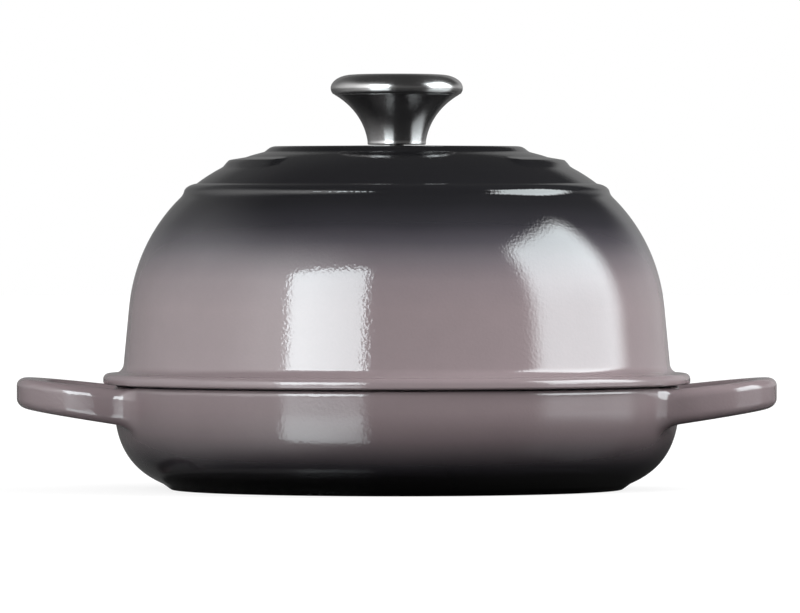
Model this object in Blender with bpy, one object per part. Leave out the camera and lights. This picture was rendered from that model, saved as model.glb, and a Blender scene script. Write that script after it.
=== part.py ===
"""Round enamelled cast iron bread oven: a shallow pan with loop handles, and a domed lid with a steel knob.

Metres, +Z up. The origin is on the table under the middle of the pan, and the handles lie along X.
The lid rests on the pan's rim. It lifts off along Z, and it can be turned about Z.
A profile is a list of points (radius, height) that is turned about the Z axis. A piece's heights start
from its own seat: the table for the pan, the flange's underside for the lid, the foot for the knob.
"""

import math

import bmesh
import bpy
from mathutils import Vector

MM = 0.001
QUARTER = math.pi / 2

# Facets round the pieces, and steps along the curves of their profiles
CASTING_FACETS = 48
KNOB_FACETS = 32
SMALL_FACETS = 20
BOWL_STEPS = 7
SHOULDER_STEPS = 14
INSIDE_STEPS = 9
FLARE_STEPS = 7
LOOP_STEPS = 10

# Clearances between pieces
SEAT_GAP = 0.3 * MM
LIP_PLAY = 0.8 * MM
HOLE_PLAY = 0.6 * MM

# Pan casting
PAN_RADIUS = 121.9 * MM
PAN_HEIGHT = 44.6 * MM
PAN_WALL = 4.4 * MM
PAN_FLOOR = 5.0 * MM
PAN_DRAFT = math.radians(1.2)
RIM_ROUND = 1.6 * MM
BOWL_HEIGHT = 33.4 * MM
BOWL_INSET = 20.9 * MM
BOWL_SLOPE = math.radians(24)
BOWL_FLOOR_ROUND = 12.0 * MM
BOWL_TOP_PULL = 0.582
BOWL_FOOT_PULL = 0.216
FOOT_HEIGHT = 2.6 * MM
FOOT_INSET = 3.6 * MM
FOOT_WIDTH = 9.0 * MM
FOOT_ROUND = 1.5 * MM
FOOT_RECESS = 0.8 * MM

# Concentric ridges on the pan's floor
RIDGE_COUNT = 5
FIRST_RIDGE_RADIUS = 22.0 * MM
RIDGE_SPACING = 14.5 * MM
RIDGE_WIDTH = 4.2 * MM
RIDGE_HEIGHT = 1.2 * MM

# Loop handles, cast in one with the pan
HANDLE_REACH = 41.8 * MM
HANDLE_SPAN = 91.0 * MM
HANDLE_FULLNESS = 2.4
HANDLE_BAR = 10.4 * MM
HANDLE_BAR_ROUND = 4.2 * MM
HANDLE_ROOT_HEIGHT = 15.05 * MM
HANDLE_TOP_DROP = 0.4 * MM
HANDLE_TOP_SLOPE = 0.106
HANDLE_UNDERSIDE_SLOPE = 0.155
HANDLE_SIDE_FILLET = 9.0 * MM
HANDLE_LOWER_FILLET = 4.0 * MM
HANDLE_FILLET_LENGTH = 12.0 * MM
HANDLE_ROOT_DEPTH = 2.2 * MM

# Lid casting
LID_HEIGHT = 103.3 * MM
LID_WALL = 4.1 * MM
LID_WALL_HEIGHT = 33.2 * MM
LID_DRAFT = math.radians(5.4)
CROWN_THICKNESS = 4.9 * MM
CROWN_BOSS_RADIUS = 11.0 * MM
INNER_CROWN_PULL = 0.2
INNER_BOSS_PULL = 0.35
FLANGE_OVERHANG = 4.6 * MM
FLANGE_WIDTH = 8.45 * MM
FLANGE_THICKNESS = 5.2 * MM
FLANGE_ROUND = 2.2 * MM
FLANGE_FILLET = 4.5 * MM
LIP_DEPTH = 3.5 * MM
LIP_WIDTH = 3.2 * MM
LIP_ROUND = 0.8 * MM

# The lid's shoulder
CROWN_SLOPE = math.radians(13)
CROWN_PULL = 0.34
WALL_PULL = 0.41

# Raised disc and rings on the lid's crown
DISC_RADIUS = 54.0 * MM
DISC_EDGE = 3.05 * MM
DISC_STEP = 2.6 * MM
DISC_CAMBER = 0.35 * MM
DISC_ROUND = 5.4 * MM
BROKEN_RING_SET = 8.05 * MM
BROKEN_RING_TREAD = 7.4 * MM
BROKEN_RING_EDGE = 2.45 * MM
BROKEN_RING_RISE = 1.9 * MM
BROKEN_RING_GAP = math.radians(43.5)
BROKEN_RING_TIP = math.radians(6.5)
FULL_RING_SET = 11.25 * MM
FULL_RING_TREAD = 4.95 * MM
FULL_RING_EDGE = 1.1 * MM
FULL_RING_RISE = 2.1 * MM
BROKEN_RING_ROUND = 1.8 * MM
FULL_RING_ROUND = 3.0 * MM
RING_ROOT = 2.0 * MM

# Steel knob
KNOB_RADIUS = 28.5 * MM
KNOB_HEIGHT = 30.6 * MM
KNOB_SHEET = 1.2 * MM
CAP_HEIGHT = 8.8 * MM
CAP_FLAT_RADIUS = 18.8 * MM
CAP_CAMBER = 0.35 * MM
CAP_ROLL = 2.1 * MM
CAP_LIP = 2.2 * MM
STEM_EDGE_SET = 1.7 * MM
STEM_NECK_RADIUS = 12.6 * MM
STEM_NECK_HEIGHT = 1.6 * MM
STEM_NECK_DRAFT = math.radians(9)
STEM_NECK_PULL = 0.38
STEM_FLARE_SLOPE = math.radians(26)
STEM_FLARE_PULL = 0.26
STEM_FOOT_ROUND = 0.7 * MM
STEM_EDGE = 0.5 * MM
BUSH_FLANGE_THICKNESS = 3.0 * MM
BUSH_WALL = 2.2 * MM
BUSH_HEIGHT = 15.0 * MM

# Screw and washer under the lid's crown
SCREW_RADIUS = 3.0 * MM
SCREW_ENGAGEMENT = 10.5 * MM
SCREW_POINT = 0.8 * MM
SCREW_HEAD_RADIUS = 5.6 * MM
SCREW_HEAD_HEIGHT = 3.4 * MM
SCREW_HEAD_ROUND = 1.6 * MM
SCREW_SLOT_WIDTH = 1.3 * MM
SCREW_SLOT_DEPTH = 1.6 * MM
WASHER_RADIUS = 8.0 * MM
WASHER_THICKNESS = 1.2 * MM

# Places worked out from the sizes above
PAN_INNER_RADIUS = PAN_RADIUS - PAN_WALL
WALL_TOP = FOOT_HEIGHT + BOWL_HEIGHT
BOWL_RADIUS = PAN_RADIUS - (PAN_HEIGHT - WALL_TOP) * math.tan(PAN_DRAFT)
FLANGE_RADIUS = PAN_RADIUS + FLANGE_OVERHANG
LID_RADIUS = FLANGE_RADIUS - FLANGE_WIDTH
SHOULDER_RADIUS = LID_RADIUS - (LID_WALL_HEIGHT - FLANGE_THICKNESS) * math.tan(LID_DRAFT)
CROWN_UNDERSIDE = LID_HEIGHT - CROWN_THICKNESS
DISC_FOOT_RADIUS = DISC_RADIUS + DISC_EDGE
BROKEN_RING_RADIUS = DISC_FOOT_RADIUS + BROKEN_RING_SET
FULL_RING_RADIUS = BROKEN_RING_RADIUS + BROKEN_RING_TREAD + BROKEN_RING_EDGE + FULL_RING_SET
CAP_BASE = KNOB_HEIGHT - CAP_HEIGHT
STEM_TOP = CAP_BASE - SEAT_GAP
STEM_BORE_RADIUS = STEM_NECK_RADIUS - KNOB_SHEET
THREAD_RADIUS = SCREW_RADIUS + SEAT_GAP
LID_HOLE_RADIUS = SCREW_RADIUS + HOLE_PLAY
KNOB_SEAT = LID_HEIGHT + SEAT_GAP
WASHER_SEAT = CROWN_UNDERSIDE - SEAT_GAP - WASHER_THICKNESS
SCREW_SEAT = WASHER_SEAT - SEAT_GAP
SCREW_LENGTH = KNOB_SEAT - SCREW_SEAT + SCREW_ENGAGEMENT

ENAMEL_MAUVE = (0.30, 0.25, 0.262, 1.0)
ENAMEL_DARK = (0.045, 0.042, 0.046, 1.0)
BRUSHED_STEEL = (0.56, 0.55, 0.54, 1.0)
BRIGHT_ZINC = (0.62, 0.62, 0.60, 1.0)


def surface(name, colour, roughness, metallic):
    """A plain material of one colour."""
    made = bpy.data.materials.new(name)
    made.use_nodes = True
    shader = made.node_tree.nodes["Principled BSDF"]
    shader.inputs["Base Color"].default_value = colour
    shader.inputs["Roughness"].default_value = roughness
    shader.inputs["Metallic"].default_value = metallic
    made.diffuse_color = colour
    return made


def ellipse(centre, half_width, half_height, start, end, steps):
    """Points on an upright ellipse from the angle start to the angle end in degrees, both included."""
    angles = [math.radians(start + (end - start) * step / steps) for step in range(steps + 1)]
    return [(centre[0] + half_width * math.cos(a), centre[1] + half_height * math.sin(a)) for a in angles]


def rounded(before, corner, after, radius, steps=2):
    """An arc of the radius in place of a corner, touching the lines to both neighbours."""
    corner = Vector(corner)
    back = Vector(before) - corner
    ahead = Vector(after) - corner
    half = back.angle(ahead) / 2
    setback = min(radius / math.tan(half), 0.48 * back.length, 0.48 * ahead.length)
    back.normalize()
    ahead.normalize()
    centre = corner + (back + ahead).normalized() * setback / math.cos(half)
    first = corner + back * setback - centre
    last = corner + ahead * setback - centre
    start = math.degrees(math.atan2(first.y, first.x))
    turn = math.remainder(math.degrees(math.atan2(last.y, last.x)) - start, 360)
    return ellipse(centre, first.length, first.length, start, start + turn, steps)


def eased(start, leaving, start_pull, end, arriving, end_pull):
    """Control points of a cubic curve between two points, from its headings there and the pull of each.

    A heading is an angle from straight outwards. A pull is a share of the distance between the points.
    """
    chord = math.dist(start, end)
    out = start_pull * chord
    back = end_pull * chord
    return (
        start,
        (start[0] + out * math.cos(leaving), start[1] + out * math.sin(leaving)),
        (end[0] - back * math.cos(arriving), end[1] - back * math.sin(arriving)),
        end,
    )


def bezier(curve, share, inset=0.0):
    """The point at a share of a cubic curve of four control points, moved to the right of its direction."""
    a, b, c, d = (Vector(point) for point in curve)
    rest = 1 - share
    point = a * rest**3 + b * 3 * rest**2 * share + c * 3 * rest * share**2 + d * share**3
    heading = ((b - a) * rest**2 + (c - b) * 2 * rest * share + (d - c) * share**2).normalized()
    return point.x + inset * heading.y, point.y - inset * heading.x


def bezier_points(curve, steps, inset=0.0):
    """Points along a cubic curve, both ends included."""
    return [bezier(curve, step / steps, inset) for step in range(steps + 1)]


def finish_solid(name, shape, finish, smooth_angle=30):
    """Close a bmesh's seam and poles, face it outwards, and make it a smooth-shaded object."""
    bmesh.ops.remove_doubles(shape, verts=shape.verts[:], dist=0.001 * MM)
    bmesh.ops.recalc_face_normals(shape, faces=shape.faces[:])
    mesh = bpy.data.meshes.new(name)
    shape.to_mesh(mesh)
    shape.free()
    mesh.materials.append(finish)
    mesh.shade_smooth()
    mesh.set_sharp_from_angle(angle=math.radians(smooth_angle))
    made = bpy.data.objects.new(name, mesh)
    bpy.context.collection.objects.link(made)
    return made


def turned(name, profile, facets, finish, closed=False):
    """A solid turned about Z. Its profile runs from axis to axis, or is a closed ring away from the axis."""
    shape = bmesh.new()
    corners = [shape.verts.new((radius, 0, height)) for radius, height in profile]
    pairs = list(zip(corners, corners[1:]))
    if closed:
        pairs.append((corners[-1], corners[0]))
    edges = [shape.edges.new(pair) for pair in pairs]
    bmesh.ops.spin(
        shape,
        geom=corners + edges,
        cent=(0, 0, 0),
        axis=(0, 0, 1),
        angle=math.tau,
        steps=facets,
        use_merge=True,
    )
    return finish_solid(name, shape, finish)


def skinned(name, sections, finish):
    """A solid skinned over a row of sections with equal numbers of points, closed by its end sections."""
    shape = bmesh.new()
    rows = [[shape.verts.new(point) for point in section] for section in sections]
    for row, following in zip(rows, rows[1:]):
        for i in range(len(row)):
            shape.faces.new((row[i - 1], row[i], following[i], following[i - 1]))
    shape.faces.new(rows[0])
    shape.faces.new(reversed(rows[-1]))
    return finish_solid(name, shape, finish)


def combine(target, tool, operation):
    """Join a tool to a target, or cut it out, by an exact Boolean. The tool itself stays out of the part."""
    step = target.modifiers.new(tool.name, "BOOLEAN")
    step.operation = operation
    step.solver = "EXACT"
    step.object = tool
    tool.parent = target
    tool.hide_render = True
    tool.display_type = "WIRE"


def bowl_curve():
    """Outside of the bowl, from the top of its curve down to the foot ring."""
    top = (BOWL_RADIUS, WALL_TOP)
    foot = (BOWL_RADIUS - BOWL_INSET, FOOT_HEIGHT)
    return eased(top, -QUARTER - PAN_DRAFT, BOWL_TOP_PULL, foot, math.pi + BOWL_SLOPE, BOWL_FOOT_PULL)


def pan_radius_at(height):
    """Outer radius of the pan at a height, straight between the points of its wall."""
    wall = [(PAN_RADIUS, PAN_HEIGHT), *bezier_points(bowl_curve(), BOWL_STEPS)]
    for above, below in zip(wall, wall[1:]):
        if height >= below[1]:
            break
    share = (height - below[1]) / (above[1] - below[1])
    return below[0] + share * (above[0] - below[0])


def floor_profile():
    """Baking floor from its edge to the axis, with its concentric ridges."""
    points = []
    for ridge in reversed(range(RIDGE_COUNT)):
        middle = FIRST_RIDGE_RADIUS + ridge * RIDGE_SPACING
        points += [
            (middle + RIDGE_WIDTH / 2, PAN_FLOOR),
            (middle, PAN_FLOOR + RIDGE_HEIGHT),
            (middle - RIDGE_WIDTH / 2, PAN_FLOOR),
        ]
    return points + [(0, PAN_FLOOR)]


def pan_profile():
    """Section of the pan, from the axis under it, round the foot, wall and rim, to the axis on its floor."""
    outside = bezier_points(bowl_curve(), BOWL_STEPS)[::-1]
    inside = bezier_points(bowl_curve(), BOWL_STEPS, inset=PAN_WALL)
    foot_radius = outside[0][0] - FOOT_INSET
    recess_radius = foot_radius - FOOT_WIDTH
    outer_edge = (PAN_RADIUS, PAN_HEIGHT)
    inner_edge = (PAN_INNER_RADIUS, PAN_HEIGHT)
    floor_edge = (inside[-1][0] - (inside[-1][1] - PAN_FLOOR) / math.tan(BOWL_SLOPE), PAN_FLOOR)
    floor = floor_profile()
    return [
        (0, FOOT_RECESS),
        (recess_radius - FOOT_RECESS, FOOT_RECESS),
        (recess_radius, 0),
        *rounded((recess_radius, 0), (foot_radius, 0), outside[0], FOOT_ROUND),
        *outside,
        *rounded(outside[-1], outer_edge, inner_edge, RIM_ROUND),
        *rounded(outer_edge, inner_edge, inside[0], RIM_ROUND),
        *inside,
        *rounded(inside[-1], floor_edge, floor[0], BOWL_FLOOR_ROUND),
        *floor,
    ]


def bar_outline():
    """Rounded oblong across the handle's bar, as shares (outward -1 to 1, upward 0 to 1) of its size."""
    width_round = HANDLE_BAR_ROUND / (HANDLE_BAR / 2)
    height_round = HANDLE_BAR_ROUND / HANDLE_ROOT_HEIGHT
    points = []
    for across, up, start in ((1, 1, 0), (-1, 1, 90), (-1, 0, 180), (1, 0, 270)):
        centre = (across * (1 - width_round), up + (0.5 - up) * 2 * height_round)
        points += ellipse(centre, width_round, height_round, start, start + 90, 2)
    return points


def handle_height(reach, share):
    """Height of the handle at a distance from the pan's axis, from its underside (0) to its top (1)."""
    out = reach - PAN_RADIUS
    top = PAN_HEIGHT - HANDLE_TOP_DROP + out * HANDLE_TOP_SLOPE
    underside = PAN_HEIGHT - HANDLE_TOP_DROP - HANDLE_ROOT_HEIGHT + out * HANDLE_UNDERSIDE_SLOPE
    return underside + share * (top - underside)


def fillet_spread(distance, width):
    """How far a fillet widens a bar at a distance from the wall that it stands on: a quarter of an ellipse."""
    inward = 1 - min(max(distance / HANDLE_FILLET_LENGTH, 0), 1)
    return width * (1 - math.sqrt(1 - inward**2))


def root_section(distance):
    """Section of a handle's leg that follows the pan's wall at a distance outside it."""
    leg = (HANDLE_SPAN - HANDLE_BAR) / 2
    half_bar = HANDLE_BAR / 2 + fillet_spread(distance, HANDLE_SIDE_FILLET)
    droop = fillet_spread(distance, HANDLE_LOWER_FILLET)
    section = []
    for across, up in bar_outline():
        y = leg + across * half_bar
        reach = math.sqrt(PAN_RADIUS**2 - y**2) + distance
        z = handle_height(reach, up) - droop * (1 - up)
        section.append((math.sqrt(pan_radius_at(z) ** 2 - y**2) + distance, y, z))
    return section


def loop_section(turn):
    """Section of a handle's bar along its loop, from 0 degrees at the leg to 90 in the middle of the grip.

    The loop's outer edge is an oval that is fuller than an ellipse: the powers of its two shares of the
    reach and of half the span add up to 1.
    """
    reach_share = math.sin(math.radians(turn)) ** (2 / HANDLE_FULLNESS)
    span_share = max(math.cos(math.radians(turn)), 0) ** (2 / HANDLE_FULLNESS)
    outer = Vector((PAN_RADIUS + reach_share * HANDLE_REACH, span_share * HANDLE_SPAN / 2))
    steepness = HANDLE_FULLNESS - 1
    facing = Vector((reach_share**steepness / HANDLE_REACH, span_share**steepness / (HANDLE_SPAN / 2)))
    facing.normalize()
    section = []
    for across, up in bar_outline():
        x, y = outer - facing * (1 - across) * HANDLE_BAR / 2
        section.append((x, y, handle_height(x, up)))
    return section


def loop_start():
    """Turn in degrees at which the loop has come as far out as the end of its leg's fillet."""
    leg = (HANDLE_SPAN - HANDLE_BAR) / 2
    out = math.sqrt(PAN_RADIUS**2 - leg**2) + HANDLE_FILLET_LENGTH - PAN_RADIUS
    share = max(out, 0) / HANDLE_REACH
    return math.degrees(math.asin(share ** (HANDLE_FULLNESS / 2)))


def build_handle(name, side, finish):
    """Loop handle on the side +1 or -1 of X: one bar from wall to wall, with a fillet at each root."""
    shares = (0, 0.04, 0.13, 0.28, 0.5, 0.75, 1)
    start = loop_start()
    half = [root_section(-HANDLE_ROOT_DEPTH)]
    half += [root_section(share * HANDLE_FILLET_LENGTH) for share in shares]
    half += [loop_section(start + (90 - start) * step / LOOP_STEPS) for step in range(1, LOOP_STEPS + 1)]
    mirrored = [[(x, -y, z) for x, y, z in section] for section in reversed(half[:-1])]
    sections = [[(side * x, y, z) for x, y, z in section] for section in half + mirrored]
    return skinned(name, sections, finish)


def build_pan(finish):
    """The pan with its handles."""
    pan = turned("base_pan", pan_profile(), CASTING_FACETS, finish)
    combine(pan, build_handle("left_handle", -1, finish), "UNION")
    combine(pan, build_handle("right_handle", 1, finish), "UNION")
    return pan


def shoulder_curve():
    """Outside of the lid without its rings, from the foot of the disc down to the top of the wall."""
    crown = (DISC_FOOT_RADIUS, LID_HEIGHT - DISC_STEP)
    wall = (SHOULDER_RADIUS, LID_WALL_HEIGHT)
    return eased(crown, -CROWN_SLOPE, CROWN_PULL, wall, LID_DRAFT - QUARTER, WALL_PULL)


def shoulder_height(radius):
    """Height of the shoulder at a radius, found by halving the share of the curve."""
    curve = shoulder_curve()
    low, high = 0.0, 1.0
    for _ in range(30):
        middle = (low + high) / 2
        if bezier(curve, middle)[0] < radius:
            low = middle
        else:
            high = middle
    return bezier(curve, low)[1]


def raised_ring(radius, tread, edge, rise, edge_round):
    """Outline of a ring on the shoulder: its crease, its rounded edge and its foot."""
    crease = (radius, shoulder_height(radius))
    corner = (radius + tread, shoulder_height(radius + tread) + rise)
    foot = (radius + tread + edge, shoulder_height(radius + tread + edge))
    return [crease, *rounded(crease, corner, foot, edge_round), foot]


def lid_outside():
    """Outside of the lid from the knob hole to the flange's underside."""
    disc_edge = (DISC_RADIUS, LID_HEIGHT - DISC_CAMBER)
    ring = raised_ring(
        FULL_RING_RADIUS, FULL_RING_TREAD, FULL_RING_EDGE, FULL_RING_RISE, FULL_RING_ROUND
    )
    shoulder = bezier_points(shoulder_curve(), SHOULDER_STEPS)
    flange_root = (LID_RADIUS, FLANGE_THICKNESS)
    flange_top = (FLANGE_RADIUS, FLANGE_THICKNESS)
    flange_base = (FLANGE_RADIUS, 0)
    return [
        (LID_HOLE_RADIUS, LID_HEIGHT),
        (STEM_NECK_RADIUS + HOLE_PLAY, LID_HEIGHT),
        *rounded((STEM_NECK_RADIUS, LID_HEIGHT), disc_edge, shoulder[0], DISC_ROUND, 3),
        *[point for point in shoulder if point[0] < ring[0][0] - FULL_RING_ROUND],
        *ring,
        *[point for point in shoulder if point[0] > ring[-1][0] + FULL_RING_ROUND],
        *rounded(shoulder[-1], flange_root, flange_top, FLANGE_FILLET, 3),
        *rounded(flange_root, flange_top, flange_base, FLANGE_ROUND),
        *rounded(flange_top, flange_base, (LID_RADIUS, 0), FLANGE_ROUND),
    ]


def lid_inside():
    """Inside of the lid from its locating lip up to the knob hole."""
    lip_radius = PAN_INNER_RADIUS - LIP_PLAY
    lip_outer = (lip_radius, -LIP_DEPTH)
    lip_inner = (lip_radius - LIP_WIDTH, -LIP_DEPTH)
    wall_base = (lip_inner[0], FLANGE_THICKNESS)
    shoulder = bezier_points(shoulder_curve(), INSIDE_STEPS, inset=LID_WALL)[::-1]
    boss_edge = (CROWN_BOSS_RADIUS, CROWN_UNDERSIDE)
    crown = eased(
        shoulder[-1], math.pi - CROWN_SLOPE, INNER_CROWN_PULL, boss_edge, math.pi, INNER_BOSS_PULL
    )
    return [
        (lip_radius, 0),
        *rounded((lip_radius, 0), lip_outer, lip_inner, LIP_ROUND),
        *rounded(lip_outer, lip_inner, wall_base, LIP_ROUND),
        wall_base,
        *shoulder,
        *bezier_points(crown, INSIDE_STEPS // 2)[1:],
        (LID_HOLE_RADIUS, CROWN_UNDERSIDE),
    ]


def broken_ring_section(fullness):
    """Section of a broken ring's arc, sunk into the lid, from below the surface (0) to full height (1)."""
    crease, *edge, foot = raised_ring(
        BROKEN_RING_RADIUS, BROKEN_RING_TREAD, BROKEN_RING_EDGE, BROKEN_RING_RISE, BROKEN_RING_ROUND
    )
    tread_slope = (crease[1] - edge[0][1]) / (edge[0][0] - crease[0])
    edge_slope = (edge[-1][1] - foot[1]) / (foot[0] - edge[-1][0])
    inner = (crease[0] - RING_ROOT, crease[1] + RING_ROOT * tread_slope)
    outer = (foot[0] + RING_ROOT / 2, foot[1] - RING_ROOT / 2 * edge_slope)
    top = []
    for radius, height in (inner, *edge, outer):
        sunk = shoulder_height(radius) - RING_ROOT / 4
        top.append((radius, sunk + fullness * (height - sunk)))
    return [*top, (outer[0], outer[1] - RING_ROOT), (inner[0], inner[1] - RING_ROOT)]


def build_ring_arc(name, side, finish):
    """Arc of the broken ring on the side +1 or -1 of X, between the bare places at the front and back."""
    steps = CASTING_FACETS // 4
    span = math.pi - 2 * (BROKEN_RING_GAP + BROKEN_RING_TIP)
    turns = [(BROKEN_RING_GAP + BROKEN_RING_TIP * share, share) for share in (0, 0.15, 0.4, 0.7)]
    turns += [(BROKEN_RING_GAP + BROKEN_RING_TIP + span * step / steps, 1) for step in range(steps + 1)]
    turns += [(math.pi - turn, share) for turn, share in reversed(turns[:4])]
    sections = []
    for turn, share in turns:
        fullness = math.sqrt(1 - (1 - share) ** 2)
        x, y = side * math.sin(turn), -math.cos(turn)
        sections.append([(r * x, r * y, z) for r, z in broken_ring_section(fullness)])
    return skinned(name, sections, finish)


def build_lid(finish):
    """The lid with both arcs of its broken ring."""
    lid = turned("domed_lid", lid_outside() + lid_inside(), CASTING_FACETS, finish, closed=True)
    combine(lid, build_ring_arc("left_ring_arc", -1, finish), "UNION")
    combine(lid, build_ring_arc("right_ring_arc", 1, finish), "UNION")
    return lid


def build_knob_cap(finish):
    """Hollow cap of the knob, with its edge rolled in to a flat lip."""
    profile = [(0, KNOB_HEIGHT)]
    roll = (KNOB_RADIUS - CAP_ROLL, CAP_BASE + CAP_ROLL)
    shoulder = (CAP_FLAT_RADIUS, roll[1])
    width = KNOB_RADIUS - CAP_FLAT_RADIUS
    height = KNOB_HEIGHT - CAP_CAMBER - roll[1]
    lip = roll[0] - CAP_LIP
    sheet = KNOB_SHEET
    profile += ellipse(shoulder, width, height, 90, 0, 5)
    profile += ellipse(roll, CAP_ROLL, CAP_ROLL, 0, -90, 3)[1:]
    profile += [(lip, CAP_BASE), (lip, CAP_BASE + sheet)]
    profile += ellipse(roll, CAP_ROLL - sheet, CAP_ROLL - sheet, -90, 0, 2)
    profile += ellipse(shoulder, width - sheet, height - sheet, 0, 90, 4)[1:]
    profile.append((0, KNOB_HEIGHT - sheet))
    return turned("knob_cap", profile, KNOB_FACETS, finish)


def build_knob_stem(finish):
    """Hollow stem of the knob, which flares from its foot up to the cap's lip."""
    edge_radius = KNOB_RADIUS - STEM_EDGE_SET
    edge = (edge_radius, STEM_TOP - STEM_EDGE)
    neck = (STEM_NECK_RADIUS, STEM_NECK_HEIGHT)
    flare = eased(
        edge,
        math.pi + STEM_FLARE_SLOPE,
        STEM_FLARE_PULL,
        neck,
        -QUARTER - STEM_NECK_DRAFT,
        STEM_NECK_PULL,
    )
    outside = bezier_points(flare, FLARE_STEPS)
    inside = bezier_points(flare, FLARE_STEPS, inset=KNOB_SHEET)[::-1]
    foot = (STEM_NECK_RADIUS, 0)
    bore = (STEM_BORE_RADIUS, 0)
    profile = [
        (edge_radius, STEM_TOP),
        *outside,
        *rounded(neck, foot, bore, STEM_FOOT_ROUND),
        bore,
        *[point for point in inside if point[1] < STEM_TOP - KNOB_SHEET],
        (KNOB_RADIUS - CAP_ROLL - CAP_LIP, STEM_TOP),
    ]
    return turned("knob_stem", profile, KNOB_FACETS, finish, closed=True)


def build_knob_bush(finish):
    """Threaded bush in the stem's foot: a flange on the lid and a boss that holds the screw."""
    flange = STEM_BORE_RADIUS - SEAT_GAP
    boss = THREAD_RADIUS + BUSH_WALL
    profile = [
        (THREAD_RADIUS, BUSH_HEIGHT),
        (boss, BUSH_HEIGHT),
        (boss, BUSH_FLANGE_THICKNESS),
        (flange, BUSH_FLANGE_THICKNESS),
        (flange, 0),
        (THREAD_RADIUS, 0),
    ]
    return turned("knob_bush", profile, SMALL_FACETS, finish, closed=True)


def build_screw(finish):
    """Slotted screw, its head below and its point inside the knob's bush."""
    head_top = (0, -SCREW_HEAD_HEIGHT)
    head_side = (SCREW_HEAD_RADIUS, -SCREW_HEAD_HEIGHT)
    profile = [
        (0, SCREW_LENGTH),
        (SCREW_RADIUS - SCREW_POINT, SCREW_LENGTH),
        (SCREW_RADIUS, SCREW_LENGTH - SCREW_POINT),
        (SCREW_RADIUS, 0),
        (SCREW_HEAD_RADIUS, 0),
        *rounded((SCREW_HEAD_RADIUS, 0), head_side, head_top, SCREW_HEAD_ROUND),
        head_top,
    ]
    screw = turned("knob_screw", profile, SMALL_FACETS, finish)
    shape = bmesh.new()
    bmesh.ops.create_cube(shape, size=1)
    slot_size = (2.2 * SCREW_HEAD_RADIUS, SCREW_SLOT_WIDTH, 2 * SCREW_SLOT_DEPTH)
    bmesh.ops.scale(shape, vec=slot_size, verts=shape.verts[:])
    bmesh.ops.translate(shape, vec=(0, 0, -SCREW_HEAD_HEIGHT), verts=shape.verts[:])
    combine(screw, finish_solid("screw_slot", shape, finish), "DIFFERENCE")
    return screw


def build_washer(finish):
    """Plain round washer between the screw's head and the lid."""
    profile = [
        (THREAD_RADIUS, WASHER_THICKNESS),
        (WASHER_RADIUS, WASHER_THICKNESS),
        (WASHER_RADIUS, 0),
        (THREAD_RADIUS, 0),
    ]
    return turned("screw_washer", profile, SMALL_FACETS, finish, closed=True)


def build_part():
    """Every piece in its place, with the lid's pieces on an empty that stands on the lid's axis."""
    pan_enamel = surface("pan_enamel", ENAMEL_MAUVE, 0.12, 0.0)
    lid_enamel = surface("lid_enamel", ENAMEL_DARK, 0.12, 0.0)
    steel = surface("brushed_steel", BRUSHED_STEEL, 0.3, 1.0)
    zinc = surface("bright_zinc", BRIGHT_ZINC, 0.4, 1.0)
    lid_axis = bpy.data.objects.new("lid_axis", None)
    bpy.context.collection.objects.link(lid_axis)
    lid_axis.location.z = PAN_HEIGHT + SEAT_GAP
    build_pan(pan_enamel)
    placed = (
        (build_lid(lid_enamel), 0),
        (build_knob_cap(steel), KNOB_SEAT),
        (build_knob_stem(steel), KNOB_SEAT),
        (build_knob_bush(zinc), KNOB_SEAT),
        (build_screw(zinc), SCREW_SEAT),
        (build_washer(zinc), WASHER_SEAT),
    )
    for piece, height in placed:
        piece.parent = lid_axis
        piece.location.z = height


for old in list(bpy.data.objects):
    bpy.data.objects.remove(old, do_unlink=True)
build_part()
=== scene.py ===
# %% [markdown]
# # A cast iron bread oven, dressed for its photograph
#
# The real oven is two enamelled castings and a steel knob: a shallow pan with two loop handles, and a
# tall domed lid with stepped rings on its crown. The frame holds its plain, exact solids. This lesson
# builds a finer surface for each of them in the same place, and paints it with enamel or steel.
#
# Every shape here is a formula that numpy works out for a whole grid at once. That is quicker than
# adding vertices one by one, and the formula says what the shape is.

import bpy
import numpy as np
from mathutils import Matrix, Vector


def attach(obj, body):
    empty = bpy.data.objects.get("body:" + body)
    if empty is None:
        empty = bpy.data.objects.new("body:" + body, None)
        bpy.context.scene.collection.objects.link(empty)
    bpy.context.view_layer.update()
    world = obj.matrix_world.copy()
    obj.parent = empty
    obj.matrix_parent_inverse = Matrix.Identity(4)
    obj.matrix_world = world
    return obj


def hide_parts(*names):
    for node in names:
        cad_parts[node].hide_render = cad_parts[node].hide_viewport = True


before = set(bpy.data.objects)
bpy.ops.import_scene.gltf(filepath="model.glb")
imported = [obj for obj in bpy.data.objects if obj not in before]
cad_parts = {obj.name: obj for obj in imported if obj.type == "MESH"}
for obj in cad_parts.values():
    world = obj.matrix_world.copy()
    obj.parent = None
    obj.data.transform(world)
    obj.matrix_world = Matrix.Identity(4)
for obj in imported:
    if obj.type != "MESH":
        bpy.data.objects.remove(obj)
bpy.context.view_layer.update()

# %% [markdown]
# ## The camera and the picture
#
# The photograph looks almost straight at the oven from a little above its table, through a long lens:
# the rims are nearly straight lines, and they bend down by only a few pixels in the middle. A long
# lens far away gives that. The camera is pointed by its own direction, so it needs no helper object.

# %% Place the camera
MM = 0.001
CAMERA_PLACE = Vector((1.4, -4000.0, 125.0)) * MM
CAMERA_TARGET = Vector((1.4, 0.0, 78.8)) * MM
SENSOR_WIDTH = 36.0
LENS = 417.6

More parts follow.
